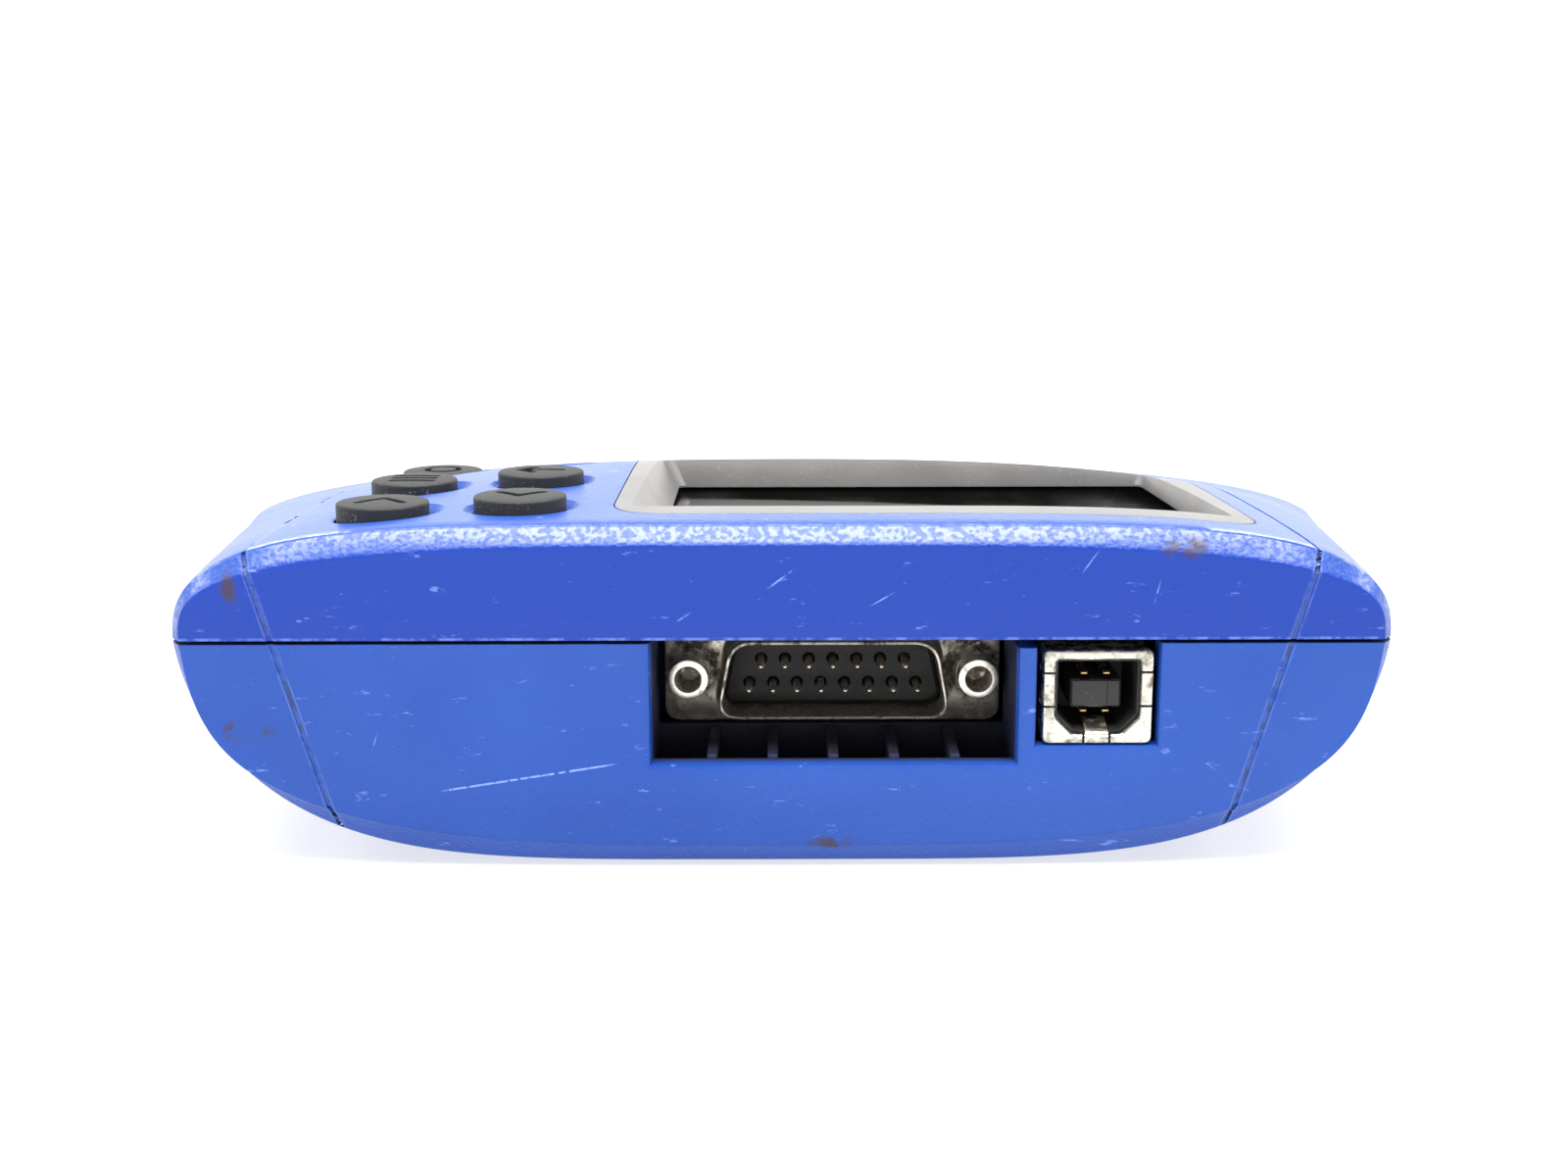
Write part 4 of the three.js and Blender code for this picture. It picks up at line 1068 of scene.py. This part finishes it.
seatY = boxOf("jack_screw_left")[0][1] + jack["reach"]
jackPlaces = [(plugX + side * plug["screwSpacing"] / 2, seatY, plugZ) for side in (-1, 1)]
finishCopies("jackScrews", jackShape(), jackPlaces, jackNickel, ["jack_screw_left", "jack_screw_right"], 35)
print("stage: vehicle connector")


usb = {
    "half": 4.65, "tall": 4.2, "bevel": 2.0, "skin": 0.4, "lip": 0.5, "slit": 0.26, "tabWidth": 2.5,
    "tongue": (2.8, 1.6), "tongueFrom": 1.8, "contactX": 1.25, "contactZ": 2.15,
}
usbLow, usbHigh = boxOf("usb_port_shell")
usbX, usbZ, usbFront = (usbLow[0] + usbHigh[0]) / 2, (usbLow[2] + usbHigh[2]) / 2, usbLow[1]


def usbOutline(inset, radius=0.35):
    h, t, b = usb["half"] - inset, usb["tall"] - inset, usb["bevel"] - inset * 0.4
    corners = [(-h, t), (-h, b - t), (b - h, -t), (h - b, -t), (h, b - t), (h, t)]
    return rounded([(usbX + x, usbZ + z) for x, z in corners], radius, 4)


def usbCan():
    back, skin, lip, slit = usbHigh[1], usb["skin"], usb["lip"], usb["slit"] / 2
    outline = rounded(rectangle(usbLow[0], usbHigh[0], usbLow[2], usbHigh[2]), 0.8, 6)
    can = profileAlongY(outline, [(usbFront, -0.3), (usbFront + 0.08, -0.12), (usbFront + 0.3, 0), (back, 0)])
    room = rounded(rectangle(usbLow[0] + skin, usbHigh[0] - skin, usbLow[2] + skin, usbHigh[2] - skin), 0.5, 4)
    mouth = [(-2, 0.2), (0, 0.2), (0.15, 0.04), (0.3, 0), (2, 0)]
    can = cut(can, profileAlongY(room, [(usbFront + lip, 0), (back + 5, 0)]),
              profileAlongY(usbOutline(0), [(usbFront + y, grow) for y, grow in mouth]))
    slots = [(-7, -4.3, z - slit, z + slit) for z in (2.75, -1.05)]
    slots += [(4.3, 7, z - slit, z + slit) for z in (2.85, -1.0)]
    slots += [(x - slit, x + slit, -7, -3.9) for x in (-1.5, 1.4)]
    return cut(can, *[block(usbX + x0, usbX + x1, usbFront - 1, usbFront + 3.4, usbZ + z0, usbZ + z1)
                      for x0, x1, z0, z1 in slots])


def usbSpring():  # the tab that springs up from the sill
    y, z, thick = usbFront, usbZ - usb["tall"], 0.3
    line = [(0.12, -0.62), (0.1, -0.2), (0.35, 0.12), (1.0, 0.42), (2.4, 0.95), (3.4, 1.1), (4.4, 0.95)]
    outline = [(y + a, z + b) for a, b in line]
    outline += [(y + a + 0.1, z + b - thick) for a, b in line[:0:-1]] + [(y + 0.42, z - 0.62)]
    return profileAlongX(outline, usbX - usb["tabWidth"] / 2, usbX + usb["tabWidth"] / 2)


def usbInsulator():
    low, high = boxOf("usb_port_insulator")
    body = block(low[0], high[0], usbFront + 0.8, high[1], low[2], high[2], 0.15)
    body = cut(body, profileAlongY(usbOutline(0.25), [(usbFront - 2, 0), (usbFront + 11, 0)]))
    w, t = usb["tongue"]
    front = usbFront + usb["tongueFrom"]
    outline = rounded(rectangle(usbX - w, usbX + w, usbZ - t, usbZ + t), 0.2, 3)
    tongue = profileAlongY(outline, [(front, -0.22), (front + 0.22, 0), (usbFront + 12, 0)])
    corners = [(side, row) for side in (-1, 1) for row in (-1, 1)]
    corners = [(usbX + side * usb["contactX"], usbZ + row * (t + 0.15)) for side, row in corners]
    lanes = [block(x - 0.55, x + 0.55, front - 1, usbFront + 10.8, z - 0.25, z + 0.25) for x, z in corners]
    nick = block(usbX + 1.25, usbX + 1.33, front - 1, front + 0.15, usbZ - t, usbZ + t)
    return join(body, cut(tongue, *lanes, nick))


def contactShape():  # a gold finger whose near end dips into the tongue
    low, high = boxOf("usb_contact_1")
    half, length = (high[0] - low[0]) / 2, high[1] - low[1]
    outline = rounded(rectangle(-half, half, -0.2, 0.2), 0.12, 3)
    return profileAlongY(outline, [(0, -0.15), (0.12, -0.04), (0.35, 0), (length, 0)])


contactY = boxOf("usb_contact_1")[0][1]
contactPlaces = [(usbX + side * usb["contactX"], contactY, usbZ + row * usb["contactZ"])
                 for row in (-1, 1) for side in (-1, 1)]
finishCopies("usbContacts", contactShape(), contactPlaces, materials["gold_plate"],
             [f"usb_contact_{i}" for i in range(1, 5)])
finishPiece(join(usbCan(), usbSpring()), "usbShell", usbTin, ["usb_port_shell"], smooth=35)
finishPiece(usbInsulator(), "usbInsulator", materials["moulded_black"], ["usb_port_insulator"])
print("stage: usb port")


screw = {
    "head": 2.7, "under": 2.2, "headHeight": 2.0, "shank": 1.4, "pitch": 1.1, "thread": 0.35,
    "cross": (0.31, 1.65), "crossDepth": 1.25,
}


def screwShape(length):  # the head's flat end is at z = 0 and looks down
    s, r, under, shank = screw, screw["head"], screw["headHeight"], screw["shank"]
    profile = [(0, 0), (r - 0.5, 0), (r - 0.12, 0.2), (r, 0.55), (s["under"], under), (shank, under),
               *ringed(shank, under + 3, length - 1.6, s["pitch"], s["thread"]),
               (0.6, length - 0.3), (0, length)]
    piece = spun(profile, 0, 0, 40)
    for x, y in (s["cross"], s["cross"][::-1]):
        top = np.array(rectangle(-x, x, -y, y))
        piece = cut(piece, loft([alongZ(top, -1), alongZ(top, 0), alongZ(top * 0.6, s["crossDepth"])]))
    return piece


for label, numbers in (("frontScrews", (1, 2)), ("rearScrews", (3, 4))):
    nodes = [f"case_screw_{i}" for i in numbers]
    low, high = boxOf(nodes[0])
    places = [(*middleOf(node)[:2], low[2]) for node in nodes]
    finishCopies(label, screwShape(high[2] - low[2]), places, materials["plain_steel"], nodes)
print("stage: screws")


# battery cells: the middle one lies the other way round
cell = {
    "radius": 7.2, "length": 50.0, "crimp": 0.35, "nub": 2.7, "nubHeight": 1.4, "bandFrom": 37.0,
    "sleeve": (0.02, 0.03, 0.045), "band": (0.30, 0.31, 0.32), "tin": (0.62, 0.61, 0.58),
}
cellBoxes = [boxOf(f"battery_{i}") for i in (1, 2, 3)]
cellLow, cellHigh = cellBoxes[1]
cellZ, cellPitch = (cellLow[2] + cellHigh[2]) / 2, cellBoxes[2][0][0] - cellLow[0]


def cellSleeve():
    f = Finish("cellSleeve")
    across = abs(abs(f.x) - cellPitch / 2) - cellPitch / 2  # from the nearest cell's axis
    radius = (across * across + (f.z - cellZ) * (f.z - cellZ)) ** 0.5
    isMiddle = (abs(f.x) - cellPitch / 2).ramp(0.05, -0.05)
    run = f.y - cellLow[1]
    alongCell = run + isMiddle * (cell["length"] - run * 2)  # turned round for the middle cell
    fromEnd = cell["length"] / 2 - abs(run - cell["length"] / 2)
    bare = radius.ramp(6.0, 5.8) * fromEnd.ramp(2.2, 2.0)
    wear = f.noise(4, 4).ramp(0.35, 0.7)
    inBand = alongCell.ramp(cell["bandFrom"] - 0.05, cell["bandFrom"] + 0.05)
    jacket = f.mix(inBand, cell["sleeve"], cell["band"])
    f.set(Base_Color=f.mix(bare, jacket, cell["tin"]), Metallic=bare, Roughness=0.24 + wear * 0.14)
    return f.bump(wear, 0.01)


def cellShape(way):  # its flat end is at y = 0, and its nub looks along Y, or against it where way is -1
    c = cell
    r, top, shoulder = c["radius"], c["length"], c["length"] - c["nubHeight"]
    flat = [(0, 0.1), (5.6, 0.1), (5.9, 0), (6.4, 0), (6.9, 0.12), (r, c["crimp"] + 0.15)]
    nub = c["nub"]
    plus = [(r, shoulder - c["crimp"] - 0.15), (6.9, shoulder - 0.12), (6.4, shoulder), (5.9, shoulder),
            (5.6, shoulder - 0.25), (nub + 0.25, shoulder - 0.25), (nub, shoulder), (nub, top - 0.35),
            (nub - 0.3, top), (0, top)]
    return spunAlongY([(radius, way * y) for radius, y in flat + plus], 0, 0, 56)


sleeve = cellSleeve()
outerPlaces = [((low[0] + high[0]) / 2, low[1], cellZ) for low, high in (cellBoxes[0], cellBoxes[2])]
finishCopies("outerCells", cellShape(1), outerPlaces, sleeve, ["battery_1", "battery_3"], 35)
middlePlaces = [((cellLow[0] + cellHigh[0]) / 2, cellHigh[1], cellZ)]
finishCopies("middleCell", cellShape(-1), middlePlaces, sleeve, ["battery_2"], 35)
print("stage: battery cells")

# a white floor, lit by the lamps where they reach and glowing a little more beyond
floorLook = {"half": 40000.0, "level": -0.02, "colour": (0.42, 0.42, 0.42), "litTo": 1500.0,
             "glow": (1, 1, 1), "farGlow": (1.3, 1.3, 1.3)}
floorCorners = rectangle(-floorLook["half"], floorLook["half"], -floorLook["half"], floorLook["half"])
floor = meshPiece("floor", [(x, y, floorLook["level"]) for x, y in floorCorners], [(0, 1, 2, 3)])
paper = Finish("floorWhite")
away = ((paper.x * paper.x + paper.y * paper.y) ** 0.5).ramp(floorLook["litTo"] * 0.4, floorLook["litTo"])
paper.set(Base_Color=floorLook["colour"], Roughness=0.8, Specular_IOR_Level=0.2, Emission_Strength=0.68,
          Emission_Color=paper.mix(away, floorLook["glow"], floorLook["farGlow"]))
floor.data.materials.append(paper.material)

for spare in (outer, skin, shell):
    bpy.data.objects.remove(spare)
